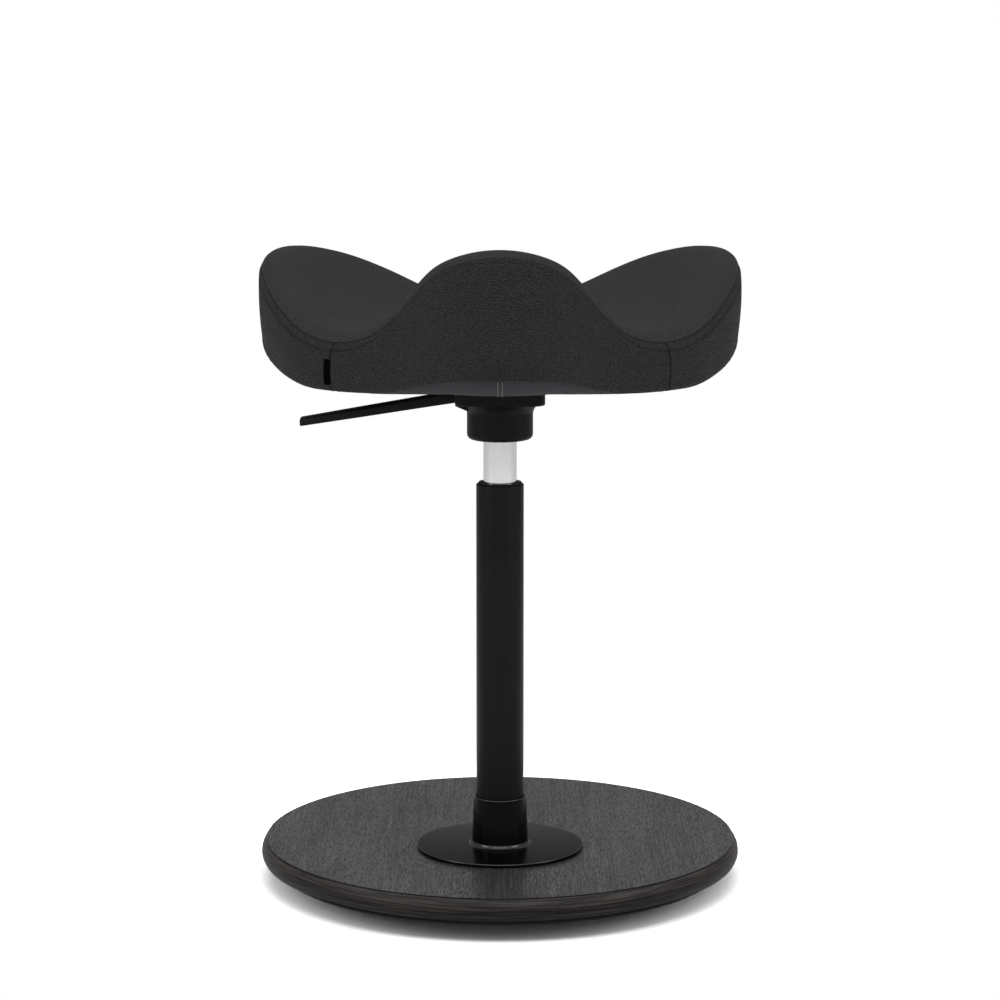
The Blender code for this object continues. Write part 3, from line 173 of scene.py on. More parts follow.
def paintShader(name, colour, roughness, texture, strength, specular=0.4):
    made, tree, surface = newShader(name)
    where = place(tree)
    orange = noiseOf(tree, where, texture, 3.0, 0.5)
    wear = noiseOf(tree, where, 22.0, 4.0, 0.6)
    lighter = tuple(c * 1.5 for c in colour)
    wire(tree, surface, colour=mixColour(tree, ramp(tree, wear, 0.4, 0.75), colour, lighter),
         rough=ramp(tree, wear, 0.3, 0.7, roughness - 0.03, roughness + 0.05),
         normal=bump(tree, orange, strength, 0.0002), specular=specular)
    return made


def metalShader(name, colour, roughness, brush, strength):
    made, tree, surface = newShader(name)
    streaks = noiseOf(tree, place(tree, brush), 1.0, 4.0, 0.6)
    cloud = noiseOf(tree, place(tree), 60.0, 3.0, 0.5)
    darker = tuple(c * 0.9 for c in colour)
    wire(tree, surface, colour=mixColour(tree, cloud, colour, darker), metal=1.0,
         rough=ramp(tree, streaks, 0.3, 0.7, roughness - 0.03, roughness + 0.05),
         normal=bump(tree, streaks, strength, 0.0001))
    return made


ash = {
    "figure": (34, 3.5, 34), "fibre": (480, 7, 480), "pores": (1000, 80, 1000), "open": (0.50, 0.58),
    "early": (0.011, 0.0105, 0.0105), "late": (0.030, 0.029, 0.0285), "streak": (0.066, 0.064, 0.063),
    "pore": (0.005, 0.005, 0.005), "rough": (0.36, 0.16), "poreRough": 0.20, "relief": 0.0002,
}


def ashShader(name):
    made, tree, surface = newShader(name)
    figure = noiseOf(tree, place(tree, ash["figure"]), 1.0, 5.0, 0.62, 1.1)
    fibre = noiseOf(tree, place(tree, ash["fibre"]), 1.0, 5.0, 0.70, 0.3)
    pores = ramp(tree, noiseOf(tree, place(tree, ash["pores"]), 1.0, 2.0, 0.6), *ash["open"])
    tone = mixColour(tree, ramp(tree, figure, 0.36, 0.64), ash["early"], ash["late"])
    tone = mixColour(tree, ramp(tree, fibre, 0.42, 0.64, 0.0, 0.8), tone, ash["streak"])
    tone = mixColour(tree, pores, tone, ash["pore"])
    worn = ramp(tree, mathOf(tree, "ADD", figure, fibre), 0.75, 1.25, *ash["rough"])
    wire(tree, surface, colour=tone, rough=mathOf(tree, "MULTIPLY_ADD", pores, ash["poreRough"], worn),
         normal=bump(tree, mathOf(tree, "SUBTRACT", fibre, pores), 0.42, ash["relief"]), specular=0.66)
    return made


plies = {
    "pitch": 0.0019, "wobble": 0.0006, "fibreScale": (11, 11, 560), "glue": (0.0008, 0.0007, 0.0007),
    "wood": (0.0040, 0.0033, 0.0031), "fibre": (0.0260, 0.0215, 0.0200), "between": (0.0030, 0.0026, 0.0025),
    # upper is painted light: the top of the edge is lighter, as if lit from above
    "upper": (0.0500, 0.0440, 0.0415), "upperFrom": (0.0330, 0.0440), "groove": (0.0010, 0.0009, 0.0009),
    "grooveFrom": (0.0440, 0.0446),
}


def plyEdgeShader(name):
    made, tree, surface = newShader(name)
    here = addNode(tree, "ShaderNodeTexCoord").outputs["Object"]
    up = addNode(tree, "ShaderNodeSeparateXYZ", {"Vector": here}).outputs["Z"]
    height = mathOf(tree, "MULTIPLY_ADD", noiseOf(tree, here, 55.0, 3.0, 0.6), plies["wobble"], up)
    line = ramp(tree, mathOf(tree, "PINGPONG", height, plies["pitch"]), 0.0001, 0.0007)
    fibre = noiseOf(tree, place(tree, plies["fibreScale"]), 1.0, 4.0, 0.7)
    tone = mixColour(tree, line, plies["glue"], plies["wood"])
    tone = mixColour(tree, ramp(tree, fibre, 0.46, 0.62), tone, plies["fibre"])
    # painted light: the colour grows lighter towards the top of the edge, standing in for light falling from
    # above
    tone = mixColour(tree, ramp(tree, up, *plies["upperFrom"], 0.0, 0.7), tone, plies["upper"])
    tone = mixColour(tree, ramp(tree, fibre, 0.42, 0.56, 0.80, 0.0), tone, plies["between"])
    tone = mixColour(tree, ramp(tree, up, *plies["grooveFrom"]), tone, plies["groove"])
    wire(tree, surface, colour=tone, rough=ramp(tree, fibre, 0.3, 0.7, 0.40, 0.56),
         normal=bump(tree, fibre, 0.60, 0.0004), specular=0.13)
    return made


def plywoodShader(name):
    made, tree, surface = newShader(name)
    figure = noiseOf(tree, place(tree, (12, 90, 60)), 1.0, 5.0, 0.6)
    wire(tree, surface, colour=mixColour(tree, figure, (0.42, 0.27, 0.14), (0.60, 0.43, 0.26)),
         rough=ramp(tree, figure, 0.3, 0.7, 0.5, 0.7), normal=bump(tree, figure, 0.2, 0.0002))
    return made


def threadShader(name, colour):
    made, tree, surface = newShader(name)
    twist = addNode(tree, "ShaderNodeTexWave", {"Vector": place(tree), "Scale": 900.0}, wave_type="BANDS",
                    bands_direction="DIAGONAL")
    darker = tuple(c * 0.6 for c in colour)
    wire(tree, surface, colour=mixColour(tree, twist.outputs["Fac"], darker, colour), rough=0.8,
         normal=bump(tree, twist.outputs["Fac"], 0.4, 0.0002), sheen=0.1)
    return made


finishes = {
    "black_leather": leatherShader("leather", (0.0205, 0.0204, 0.0209), 190.0, 0.85, 0.42, 2.9),
    "dark_lining_cloth": clothShader("liningCloth", (0.013, 0.013, 0.016), (0.030, 0.030, 0.036), 420.0),
    "black_powder_coat": paintShader("powderCoat", (0.0030, 0.0030, 0.0031), 0.40, 1300.0, 0.08, 0.11),
    "black_plastic": paintShader("plastic", (0.0024, 0.0024, 0.0025), 0.48, 2100.0, 0.16, 0.12),
    "black_rubber": paintShader("rubber", (0.0056, 0.0055, 0.0055), 0.70, 900.0, 0.30, 0.19),
    "satin_chrome": metalShader("satinChrome", (0.86, 0.86, 0.87), 0.16, (1500, 1500, 12), 0.05),
    "zinc_steel": metalShader("zincSteel", (0.58, 0.58, 0.60), 0.34, (300, 300, 300), 0.10),
    "black_stained_ash": ashShader("stainedAsh"),
    "beech_plywood": plywoodShader("plywood"),
    "cushion_foam": paintShader("foam", (0.62, 0.56, 0.42), 0.90, 500.0, 0.60),
    "black_ribbon": clothShader("ribbon", (0.0006, 0.0006, 0.0006), (0.0016, 0.0016, 0.0017), 900.0,
                                0.01, 0.0),
}
topLeather = leatherShader("topLeather", (0.0205, 0.0204, 0.0209), 300.0, 0.20, 0.76, 1.0)
housingPaint = paintShader("housingPaint", (0.0024, 0.0024, 0.0025), 0.45, 1500.0, 0.08, 0.11)
castPaint = paintShader("castPaint", (0.0012, 0.0012, 0.0013), 0.19, 1500.0, 0.06, 0.055)
# a glossier copy of the socket paint with a lighter colour, the lighter colour being a painted highlight on
# the fillet
castGlossAndPaintedHighlight = paintShader("castGlossAndPaintedHighlight", (0.0050, 0.0050, 0.0052), 0.26, 1500.0, 0.06, 0.52)
plyEdge = plyEdgeShader("plyEdge")
sewingThread = threadShader("sewingThread", (0.17, 0.17, 0.175))

for part in frame["record"]["subparts"]:
    for slot in frame["nodes"][part["node"]].material_slots:
        slot.material = finishes[part["material_slot"]]
print("materials made")


# Mesh helpers

def soften(mesh, sharp):
    mesh.shade_smooth()
    mesh.set_sharp_from_angle(angle=radians(sharp))


def link(name, data):
    made = bpy.data.objects.new(name, data)
    bpy.context.scene.collection.objects.link(made)
    return made


def addObject(name, points, faces, material=None, sharp=38):
    mesh = bpy.data.meshes.new(name)
    mesh.from_pydata([tuple(p) for p in points], [], faces)
    work = bmesh.new()
    work.from_mesh(mesh)
    bmesh.ops.recalc_face_normals(work, faces=work.faces)
    work.to_mesh(mesh)
    work.free()
    soften(mesh, sharp)
    if material is not None:
        mesh.materials.append(material)
    return link(name, mesh)


def dress(piece, body, slot, *nodes):
    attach(piece, body)
    if nodes:
        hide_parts(*nodes)


def quarterRound(steps, size):
    # pairs of inward and up along a rounded edge, from its low side
    angles = [radians(90 * i / steps) for i in range(steps + 1)]
    return [(size * (1 - sin(angle)), size * (1 - cos(angle))) for angle in angles]


def rounded(corners, steps=5):
    path = []
    for i, corner in enumerate(corners):
        here = Vector(corner[:2])
        size = corner[2] if len(corner) > 2 else 0
        if not size:
            path.append(tuple(here))
            continue
        back = Vector(corners[i - 1][:2]) - here
        ahead = Vector(corners[(i + 1) % len(corners)][:2]) - here
        half = back.angle(ahead) / 2
        reach = min(size / tan(half), back.length * 0.49, ahead.length * 0.49)
        between = (back.normalized() + ahead.normalized()).normalized()
        centre = here + between * (reach * tan(half) / sin(half))
        start = here + back.normalized() * reach - centre
        end = here + ahead.normalized() * reach - centre
        angle = start.angle(end)
        for k in range(steps + 1):
            share = k / steps
            turned = (start * sin((1 - share) * angle) + end * sin(share * angle)) / sin(angle)
            path.append(tuple(centre + turned))
    return path


def lathe(name, path, material=None, steps=160, centre=(0, columnY), sharp=38):
    points = []
    rings = []
    for radius, height in path:
        if radius < 1e-7:
            rings.append([len(points)])
            points.append((centre[0], centre[1], height))
            continue
        rings.append(range(len(points), len(points) + steps))
        angles = (2 * pi * i / steps for i in range(steps))
        points += [(centre[0] + radius * cos(a), centre[1] + radius * sin(a), height) for a in angles]
    faces = []
    for here, there in zip(rings, rings[1:] + rings[:1]):
        if len(here) == 1 and len(there) == 1:
            continue
        for i in range(steps):
            n = (i + 1) % steps
            if len(here) == 1:
                faces.append((here[0], there[i], there[n]))
            elif len(there) == 1:
                faces.append((here[i], there[0], here[n]))
            else:
                faces.append((here[i], there[i], there[n], here[n]))
    return addObject(name, points, faces, material, sharp)


def gridQuads(rows, count, first=0, closed=(False, False)):
    # closed says whether the rows, and the points in a row, go round
    quads = []
    for r in range(rows if closed[0] else rows - 1):
        here, there = first + r * count, first + (r + 1) % rows * count
        for k in range(count if closed[1] else count - 1):
            n = (k + 1) % count
            quads.append((here + k, here + n, there + n, there + k))
    return quads


def loft(name, rings, material=None, sharp=38):
    count = len(rings[0])
    points = [p for ring in rings for p in ring]
    faces = gridQuads(len(rings), count, closed=(False, True))
    faces += [list(range(count))[::-1], list(range(len(points) - count, len(points)))]
    return addObject(name, points, faces, material, sharp)


cutPast = 0.01  # how far a cutter goes past what it cuts


def combine(piece, tool, operation):
    change = piece.modifiers.new("combine", "BOOLEAN")
    change.object = tool
    change.operation = operation
    change.solver = "EXACT"
    bpy.context.view_layer.update()
    graph = bpy.context.evaluated_depsgraph_get()
    mesh = bpy.data.meshes.new_from_object(piece.evaluated_get(graph))
    piece.modifiers.clear()
    piece.data = mesh
    bpy.data.objects.remove(tool)
    soften(mesh, 32)


def flatten(piece):
    weigh = piece.modifiers.new("weigh", "WEIGHTED_NORMAL")
    weigh.keep_sharp = True
    weigh.weight = 80


# Base

base = {
    "radius": 0.2575, "top": 0.0458, "bulge": 0.0063, "undercut": 0.0040, "middle": 0.0320,
    "lift": 0.0170, "inset": 0.0045, "sole": 0.1100, "tread": 0.0050, "treadInset": 0.0120, "gap": 0.0003,
    "veneer": 0.0012, "flange": 0.0882, "flangeSeat": 0.0006, "spigot": 0.0298, "spigotDepth": 0.0335,
    "soleEdge": 0.0010, "treadEdge": 0.0012, "edgeSteps": 29, "steps": 288, "deckReach": 0.06,
    # pairs of inward and up: groove over the glue line, softened top edge, rib of the tread
    "groove": ((0.0009, 0.00010), (0.0009, 0.00060), (0.0002, 0.00068)),
    "arris": ((0.0003, -0.00012), (0.0006, 0)),
    "rib": ((0, 0.0012), (0, 0.0022), (0.0006, 0.0026), (0, 0.0030)),
}


def soleHeight(radius):
    rim = base["radius"] - base["inset"]
    share = max(0.0, (radius - base["sole"]) / (rim - base["sole"]))
    return base["lift"] * share ** 2


def edgeRadius(height, low):
    middle = base["middle"]
    if height > middle:
        return base["radius"] - base["bulge"] * ((height - middle) / (base["top"] - middle)) ** 2
    return base["radius"] - base["undercut"] * ((middle - height) / (middle - low)) ** 2


def solePath(rise, reach, steps=28):
    path = [(0, rise), (base["sole"], rise)]
    for i in range(1, steps + 1):
        radius = base["sole"] + (reach - base["sole"]) * i / steps
        path.append((radius, rise + soleHeight(radius)))
    return path


def makeBaseBoard():
    path = solePath(base["tread"] + base["gap"], base["radius"] - base["inset"] - base["soleEdge"])
    low = path[-1][1]
    glueLine = base["top"] - base["veneer"]
    for i in range(1, base["edgeSteps"] + 1):
        height = low + (glueLine - low) * i / base["edgeSteps"]
        path.append((edgeRadius(height, low), height))
    radius = path[-1][0]
    path += [(radius - inward, glueLine + up) for inward, up in base["groove"]]
    path += [(radius - inward, base["top"] + up) for inward, up in base["arris"]] + [(0, base["top"])]
    board = lathe("baseBoard", path, finishes["black_stained_ash"], base["steps"], (0, 0), 50)
    spigot = base["spigot"] + base["gap"]
    flange = base["flange"] + base["gap"]
    floor = base["top"] - base["flangeSeat"]
    deep = base["top"] - base["spigotDepth"] - base["gap"]
    over = base["top"] + cutPast
    pocket = [(0, deep), (spigot, deep), (spigot, floor), (flange, floor), (flange, over), (0, over)]
    combine(board, lathe("pocket", pocket, None, 96), "DIFFERENCE")
    board.data.materials.append(plyEdge)
    for face in board.data.polygons:
        if face.normal.z < 0.85 and hypot(*face.center[:2]) > base["flange"] + base["deckReach"]:
            face.material_index = 1
    flatten(board)
    dress(board, baseBody, "black_stained_ash", "base_board")


def makeBaseTread():
    rim = base["radius"] - base["inset"] - base["treadInset"]
    under = solePath(0.0, rim - base["treadEdge"])
    over = solePath(base["tread"], rim)
    edge = over[-1][1] - base["tread"]
    rib = [(rim - inward, edge + up) for inward, up in base["rib"]]
    tread = lathe("baseTread", under + rib + over[::-1], finishes["black_rubber"], base["steps"], (0, 0), 50)
    dress(tread, baseBody, "black_rubber", "base_tread")


makeBaseBoard()
makeBaseTread()
print("base made")


# Column

column = {
    "collarTop": 0.1022, "collarRadius": 0.0278, "collarFoot": 0.0298, "fillet": 0.0048,
    "flangeThickness": 0.0042, "floor": 0.0050, "tubeRadius": 0.0250, "tubeWall": 0.0020,
    "tubeTop": 0.4377, "bush": 0.0780, "bushRise": 0.0020, "cylinder": 0.0175, "cylinderTop": 0.5273,
    "cylinderBottom": 0.1150, "wall": 0.0020, "head": 0.0180, "taper": 0.0380, "shrink": 0.0014,
    "pinHole": 0.0033, "lip": 0.0028, "lipThickness": 0.0012, "steps": 192,
}


def makeFootSocket():
    bore = column["tubeRadius"] + base["gap"]
    spigotLow = base["top"] - base["spigotDepth"]
    flangeLow = base["top"] - base["flangeSeat"] + base["gap"]
    flangeTop = flangeLow + column["flangeThickness"]
    corners = [(0, spigotLow), (base["spigot"], spigotLow, 0.0008), (base["spigot"], flangeLow),
               (base["flange"], flangeLow, 0.0008), (base["flange"], flangeTop, 0.0011)]
    corners += [(column["collarFoot"] + outward, flangeTop + up)
                for outward, up in quarterRound(12, column["fillet"])]
    corners += [(column["collarRadius"], column["collarTop"], 0.0010),
                (bore, column["collarTop"], 0.0006), (bore, spigotLow + column["floor"]),
                (0, spigotLow + column["floor"])]
    socket = lathe("footSocket", rounded(corners), castPaint, column["steps"])
    # painted highlight: the fillet and rounded edges take a lighter, glossier copy of the socket paint
    socket.data.materials.append(castGlossAndPaintedHighlight)
    for face in socket.data.polygons:
        if 0.12 < face.normal.z < 0.97 and face.center.z > flangeLow:  # fillet and rounded edges only
            face.material_index = 1
    dress(socket, baseBody, "black_powder_coat", "foot_socket")


def makeColumnTube():
    low = base["top"] - base["spigotDepth"] + column["floor"] + base["gap"]
    outer, top = column["tubeRadius"], column["tubeTop"]
    bore = outer - column["tubeWall"]
    corners = [(bore, low), (outer, low, 0.0008), (outer, top, 0.0010), (bore, top, 0.0005)]
    tube = lathe("columnTube", rounded(corners), finishes["black_powder_coat"], column["steps"])
    dress(tube, baseBody, "black_powder_coat", "column_tube")


def makeGuideBush():
    outer = column["tubeRadius"] - column["tubeWall"] - base["gap"]
    bore = column["cylinder"] + base["gap"]
    top = column["tubeTop"] + column["bushRise"]
    low = top - column["bush"]
    corners = [(bore, low, 0.0010), (outer, low, 0.0005), (outer, top, 0.0004), (bore, top, 0.0010)]
    bush = lathe("guideBush", rounded(corners), finishes["black_plastic"], 160)
    dress(bush, baseBody, "black_plastic", "guide_bush")


def makeGasCylinder():
    outer, low, top = column["cylinder"], column["cylinderBottom"], column["cylinderTop"]
    chamber = outer - column["wall"]
    lip = chamber - column["lip"]
    corners = [(lip, low, 0.0003), (outer, low, 0.0010), (outer, top - column["taper"], 0.05),
               (outer - column["shrink"], top, 0.0010), (column["pinHole"], top),
               (column["pinHole"], top - column["head"]), (chamber, top - column["head"]),
               (chamber, low + column["lipThickness"]), (lip, low + column["lipThickness"])]
    cylinder = lathe("gasCylinder", rounded(corners), finishes["satin_chrome"], column["steps"])
    dress(cylinder, seatBody, "satin_chrome", "gas_cylinder")


makeFootSocket()
makeColumnTube()
makeGuideBush()
makeGasCylinder()
print("column made")


# Mechanism housing and lever

housing = {
    "halfWidth": 0.0466, "halfDepth": 0.0600, "corner": 0.0140, "edge": 0.0016, "top": 0.5417,
    "bottom": 0.5265, "cup": 0.0346, "cupBottom": 0.4852, "cupEdge": 0.0055, "flare": 0.0105,
    "flareStart": 0.0030, "flareBend": (0.0016, 0.62), "flareEnd": 0.0004,
    "channel": 0.0085, "channelWall": 0.0065, "channelEnd": 0.0100, "mouth": 0.0120, "lip": 0.0052,
    "drop": 0.0048, "run": 0.0114, "level": 0.0140, "boltX": 0.0360, "boltY": 0.0450, "boltHead": 0.0074,
    "boltHole": 0.0042, "headRoom": 0.0045,
}
lever = {
    "pivot": (-0.0300, 0.5326), "pivotDrop": 0.0094, "tipReach": 0.2090, "tipDrop": 0.0387,
    "tipThickness": 0.0084, "rootThickness": 0.0136, "tipHalfWidth": 0.0110, "rootHalfWidth": 0.0068,
    "tipRound": 0.0022, "widenFrom": 0.12, "widenSpan": 0.6, "square": 0.40, "slack": 0.0009,
    "noseThickness": 0.0060, "noseRise": 0.0022, "noseFull": 0.0085, "noseBlunt": 0.7, "noseNarrow": 0.2,
    "noseRings": (0.0040, 0.0085, 0.0200, 0.0340, 0.0360),
}


def roundedOutline(halfWidth, halfDepth, corner, steps):
    outline = []
    for quarter in range(4):
        across = 1 if quarter in (0, 3) else -1
        along = 1 if quarter < 2 else -1
        for i in range(steps + 1):
            angle = radians(90 * quarter + 90 * i / steps)
            outline.append((across * (halfWidth - corner) + corner * cos(angle),
                            along * (halfDepth - corner) + corner * sin(angle)))
    return outline


def leverLength():
    return lever["tipReach"] + lever["pivot"][0]


def leverHalfThickness(reach):
    share = reach / leverLength()
    return (lever["rootThickness"] + (lever["tipThickness"] - lever["rootThickness"]) * share) / 2


def leverDrop(reach):
    return (lever["tipDrop"] - lever["pivotDrop"]) * reach / leverLength()


def prism(name, outline, halfWidth):
    return loft(name, [[(x, columnY + side * halfWidth, z) for x, z in outline] for side in (-1, 1)])


def makeHousing():
    bottom, top = housing["bottom"], housing["top"]
    rings = []
    for inset, up in quarterRound(6, housing["edge"]):
        outline = roundedOutline(housing["halfWidth"] - inset, housing["halfDepth"] - inset,
                                 housing["corner"] - inset, 12)
        rings.append([(x, columnY + y, bottom + up) for x, y in outline])
    rings.append([(x, y, top) for x, y, _ in rings[-1]])
    piece = loft("mechanismHousing", rings, housingPaint)
    cup = [(0, housing["cupBottom"])]
    cup += [(housing["cup"] - inward, housing["cupBottom"] + up)
            for inward, up in quarterRound(8, housing["cupEdge"])]
    bendOut, bendShare = housing["flareBend"]
    start = Vector((housing["cup"], bottom - housing["flare"] - housing["flareStart"]))
    bend = Vector((housing["cup"] + bendOut, bottom - housing["flare"] * bendShare))
    end = Vector((housing["cup"] + housing["flare"], bottom + housing["flareEnd"]))
    for share in (i / 10 for i in range(11)):
        cup.append(tuple(start * (1 - share) ** 2 + bend * 2 * share * (1 - share) + end * share ** 2))
    middle = (bottom + top) / 2
    cup += [(end.x, middle), (0, middle)]
    combine(piece, lathe("cup", cup, None, 160), "UNION")
    left = -housing["halfWidth"]
    low = bottom - housing["lip"]
    inner = left + housing["run"]
    far = inner + housing["level"]
    deep = low - housing["drop"]
    boss = [(left, low), (inner, deep), (far, deep), (far, middle), (left, middle)]
    combine(piece, prism("boss", boss, housing["channel"] + housing["channelWall"]), "UNION")
    pivotX, pivotZ = lever["pivot"]
    mouth = housing["halfWidth"] + pivotX + housing["mouth"]
    roof = column["cylinderTop"] + base["gap"]
    floor = pivotZ - leverHalfThickness(0) - lever["slack"]
    farFloor = pivotZ - leverDrop(mouth) - leverHalfThickness(mouth) - lever["slack"]
    past = housing["channelEnd"]
    channel = [(pivotX - mouth, farFloor), (pivotX, floor), (pivotX + past, roof), (past, roof),
               (past, top + cutPast), (pivotX - mouth, top + cutPast)]
    combine(piece, prism("channel", channel, housing["channel"]), "DIFFERENCE")
    under = housing["cupBottom"] - cutPast
    wide = column["cylinder"] + base["gap"]
    narrow = column["cylinder"] - column["shrink"] + base["gap"]
    taperFrom = column["cylinderTop"] - column["taper"]
    bore = [(0, under), (wide, under), (wide, taperFrom), (narrow, roof), (0, roof)]
    combine(piece, lathe("bore", bore, None, 96), "DIFFERENCE")
    head, shank = housing["boltHead"], housing["boltHole"]
    shoulder = bottom + housing["headRoom"]
    hole = [(0, bottom - cutPast), (head, bottom - cutPast), (head, shoulder), (shank, shoulder),
            (shank, top + cutPast), (0, top + cutPast)]
    for x in (-housing["boltX"], housing["boltX"]):
        for y in (-housing["boltY"], housing["boltY"]):
            combine(piece, lathe("boltHole", hole, None, 32, (x, columnY + y)), "DIFFERENCE")
    flatten(piece)
    dress(piece, seatBody, "black_powder_coat", "mechanism_housing")


def makeLever():
    length = leverLength()
    pivotX, pivotZ = lever["pivot"]
    rings = []

    def section(x, z, halfThickness, halfWidth):
        ring = []
        for angle in (2 * pi * i / 40 for i in range(40)):
            across, up = (abs(v) ** lever["square"] * (1 if v >= 0 else -1) for v in (cos(angle), sin(angle)))
            ring.append((pivotX + x, columnY + across * halfWidth, pivotZ + z + up * halfThickness))
        rings.append(ring)

    def halfWidth(share):
        blend = min(1.0, max(0.0, (share - lever["widenFrom"]) / lever["widenSpan"]))
        blend = blend * blend * (3 - 2 * blend)
        return lever["rootHalfWidth"] + (lever["tipHalfWidth"] - lever["rootHalfWidth"]) * blend

    for share in (i / 8 for i in range(9)):
        size = sqrt(1 - (1 - share) ** 2)
        reach = length - lever["tipRound"] * share
        section(-reach, -leverDrop(reach), leverHalfThickness(reach) * (0.68 + 0.32 * size),
                halfWidth(1.0) * (0.80 + 0.20 * size))
    for i in range(1, 31):
        reach = (length - lever["tipRound"]) * (1 - i / 30)
        section(-reach, -leverDrop(reach), leverHalfThickness(reach), halfWidth(reach / length))
    for reach in lever["noseRings"]:
        blend = min(1.0, reach / lever["noseFull"])
        thick = leverHalfThickness(0) * (1 - blend) + lever["noseThickness"] / 2 * blend
        if reach == lever["noseRings"][-1]:
            thick *= lever["noseBlunt"]
        narrow = lever["rootHalfWidth"] * (1 - lever["noseNarrow"] * blend)
        section(reach, lever["noseRise"] * blend, thick, narrow)
    piece = loft("lever", rings, finishes["black_plastic"], 60)
    dress(piece, "lever", "black_plastic", "lever")


makeHousing()
makeLever()
print("mechanism made")


# Seat

seat = {
    "underside": 0.5420, "centre": -0.0103, "radius": 0.2210, "lobe": 0.0288, "flank": 0.0199,
    "waist": 0.0089, "roundness": 0.0080, "rear": 0.0016, "rise": 0.0888, "lobeRise": 0.0405,
    "frontRear": 0.0013, "tilt": 0.0097, "waistRise": 0.0069, "crest": 0.0031, "saddle": 0.0400,
    "saddlePower": 2.6, "crown": 0.0128, "crownPower": 22, "crownGain": 0.93, "sideBulge": 0.0022,
    "sideTaper": 0.0004, "curlLow": 0.0450, "curlHeight": 0.625, "curlWidth": 1.45, "leastHeight": 0.0100,
    "leastWidth": 0.0180, "widest": 0.60, "square": 2.6, "hem": 10, "arch": 49, "archWidth": 55,
    "flatReach": 0.1043, "seam": 57.2727, "skin": 0.0030, "shell": 0.0100, "leather": 0.0012,
    # small swellings of the rim, each with its angle from the front and its width in degrees
    "shoulder": 0.0028, "shoulderSpan": (17, 7.5), "lobeLift": 0.0018, "lobeSpan": (134, 14),
    "wing": 0.0009, "wingSpan": (108, 30), "brow": 0.0008, "browSpan": (0, 9),
    "back": 0.0015, "backSpan": (157, 13),
}
seamAngle = radians(seat["seam"])
sideSeams = (seamAngle, 2 * pi - seamAngle)


def near(turn, angle, width):
    away = abs((degrees(turn) + 180) % 360 - 180) - angle
    return exp(-(away / width) ** 2)


def rimRadius(turn):
    return (seat["radius"] + seat["wing"] * near(turn, *seat["wingSpan"])
            + seat["lobe"] * cos(3 * turn) - seat["flank"] * cos(2 * turn)
            - seat["rear"] * cos(turn) + seat["waist"] * cos(4 * turn) + seat["roundness"] * cos(6 * turn))


def rimRise(turn):
    return (seat["rise"] + seat["shoulder"] * near(turn, *seat["shoulderSpan"])
            + seat["lobeLift"] * near(turn, *seat["lobeSpan"]) - seat["brow"] * near(turn, *seat["browSpan"])
            + seat["back"] * near(turn, *seat["backSpan"])
            + seat["lobeRise"] * cos(3 * turn) + seat["frontRear"] * cos(2 * turn)
            + seat["tilt"] * cos(turn) + seat["waistRise"] * cos(4 * turn) + seat["crest"] * cos(6 * turn))


def rimSlope(turn):
    step = 0.01
    climb = rimRise(turn + step) - rimRise(turn - step)
    outward = rimRadius(turn + step) - rimRadius(turn - step)
    return climb / hypot(outward, 2 * step * rimRadius(turn))


def hemTurn(turn):
    away = min(turn % (2 * pi), 2 * pi - turn % (2 * pi))
    return radians(seat["hem"] + seat["arch"] * exp(-(away / radians(seat["archWidth"])) ** 4))


def curlOf(turn):
    rim = rimRadius(turn)
    lobe = max(rimRise(turn) - seat["curlLow"], 0)
    height = max(seat["curlHeight"] * lobe, seat["leastHeight"])
    width = min(max(seat["curlWidth"] * lobe, seat["leastWidth"]), seat["widest"] * rim)
    width = min(width, rim - seat["sideTaper"] - seat["flatReach"])
    return width, height


def flatEdge(turn):
    return rimRadius(turn) - seat["sideTaper"] - curlOf(turn)[0]


def curlPoint(turn, up):
    width, height = curlOf(turn)
    bend = 2 / seat["square"]
    return flatEdge(turn) + width * abs(sin(up)) ** bend, height * (1 - abs(cos(up)) ** bend)


def sidePath(turn):
    rim = rimRadius(turn)
    rise = rimRise(turn)
    curlHeight = curlOf(turn)[1]
    path = [(rim + seat["sideBulge"] * 4 * share * (1 - share) - seat["sideTaper"] * (1 - share),
             curlHeight + (rise - curlHeight) * share) for share in np.linspace(1, 0, 40)]
    hem = hemTurn(turn)
    return path + [curlPoint(turn, hem + (pi / 2 - hem) * (1 - share)) for share in np.linspace(0, 1, 90)[1:]]


def topPath(turn):
    rim = rimRadius(turn)
    rise = rimRise(turn)
    slope = rimSlope(turn)
    shares = np.concatenate((1 - np.linspace(0, 1, 60) ** 2.2 * 0.12, np.linspace(0.88, 0, 90)[1:]))
    path = []
    for share in shares:
        saddle = seat["saddle"] + (rise - seat["saddle"]) * sin(pi / 2 * share ** seat["saddlePower"])
        gain = 1 + seat["crownGain"] * (share * slope) ** 2
        crown = seat["crown"] * gain * (1 - share ** seat["crownPower"])
        path.append((rim * share, saddle + crown))
    return path


def resample(path, offsets):
    path = np.array(path)
    lengths = np.concatenate(([0], np.cumsum(np.hypot(*np.diff(path, axis=0).T))))
    offsets = np.asarray(offsets)
    return np.stack((np.interp(offsets, lengths, path[:, 0]), np.interp(offsets, lengths, path[:, 1])), 1)


def pathLength(path):
    return float(np.hypot(*np.diff(np.array(path), axis=0).T).sum())


# how far the rings of vertices lie from the seam and from the hem
nearSeam = [d * 0.001 for d in (0, 0.4, 0.8, 1.2, 1.7, 2.3, 3.1, 4.2, 5.6, 6.8, 7.7, 8.4, 9.0, 9.6, 10.4,
                                11.6, 13.4)]
nearHem = [d * 0.001 for d in (5.0, 3.4, 2.3, 1.5, 0.9, 0.4, 0.0)]


def sideOffsets(length):
    last = [length - d for d in nearHem]
    return nearSeam + list(np.linspace(nearSeam[-1], last[0], 26)[1:-1]) + last


def topOffsets(length):
    return nearSeam + list(nearSeam[-1] + (length - nearSeam[-1]) * np.linspace(0, 1, 46)[1:])


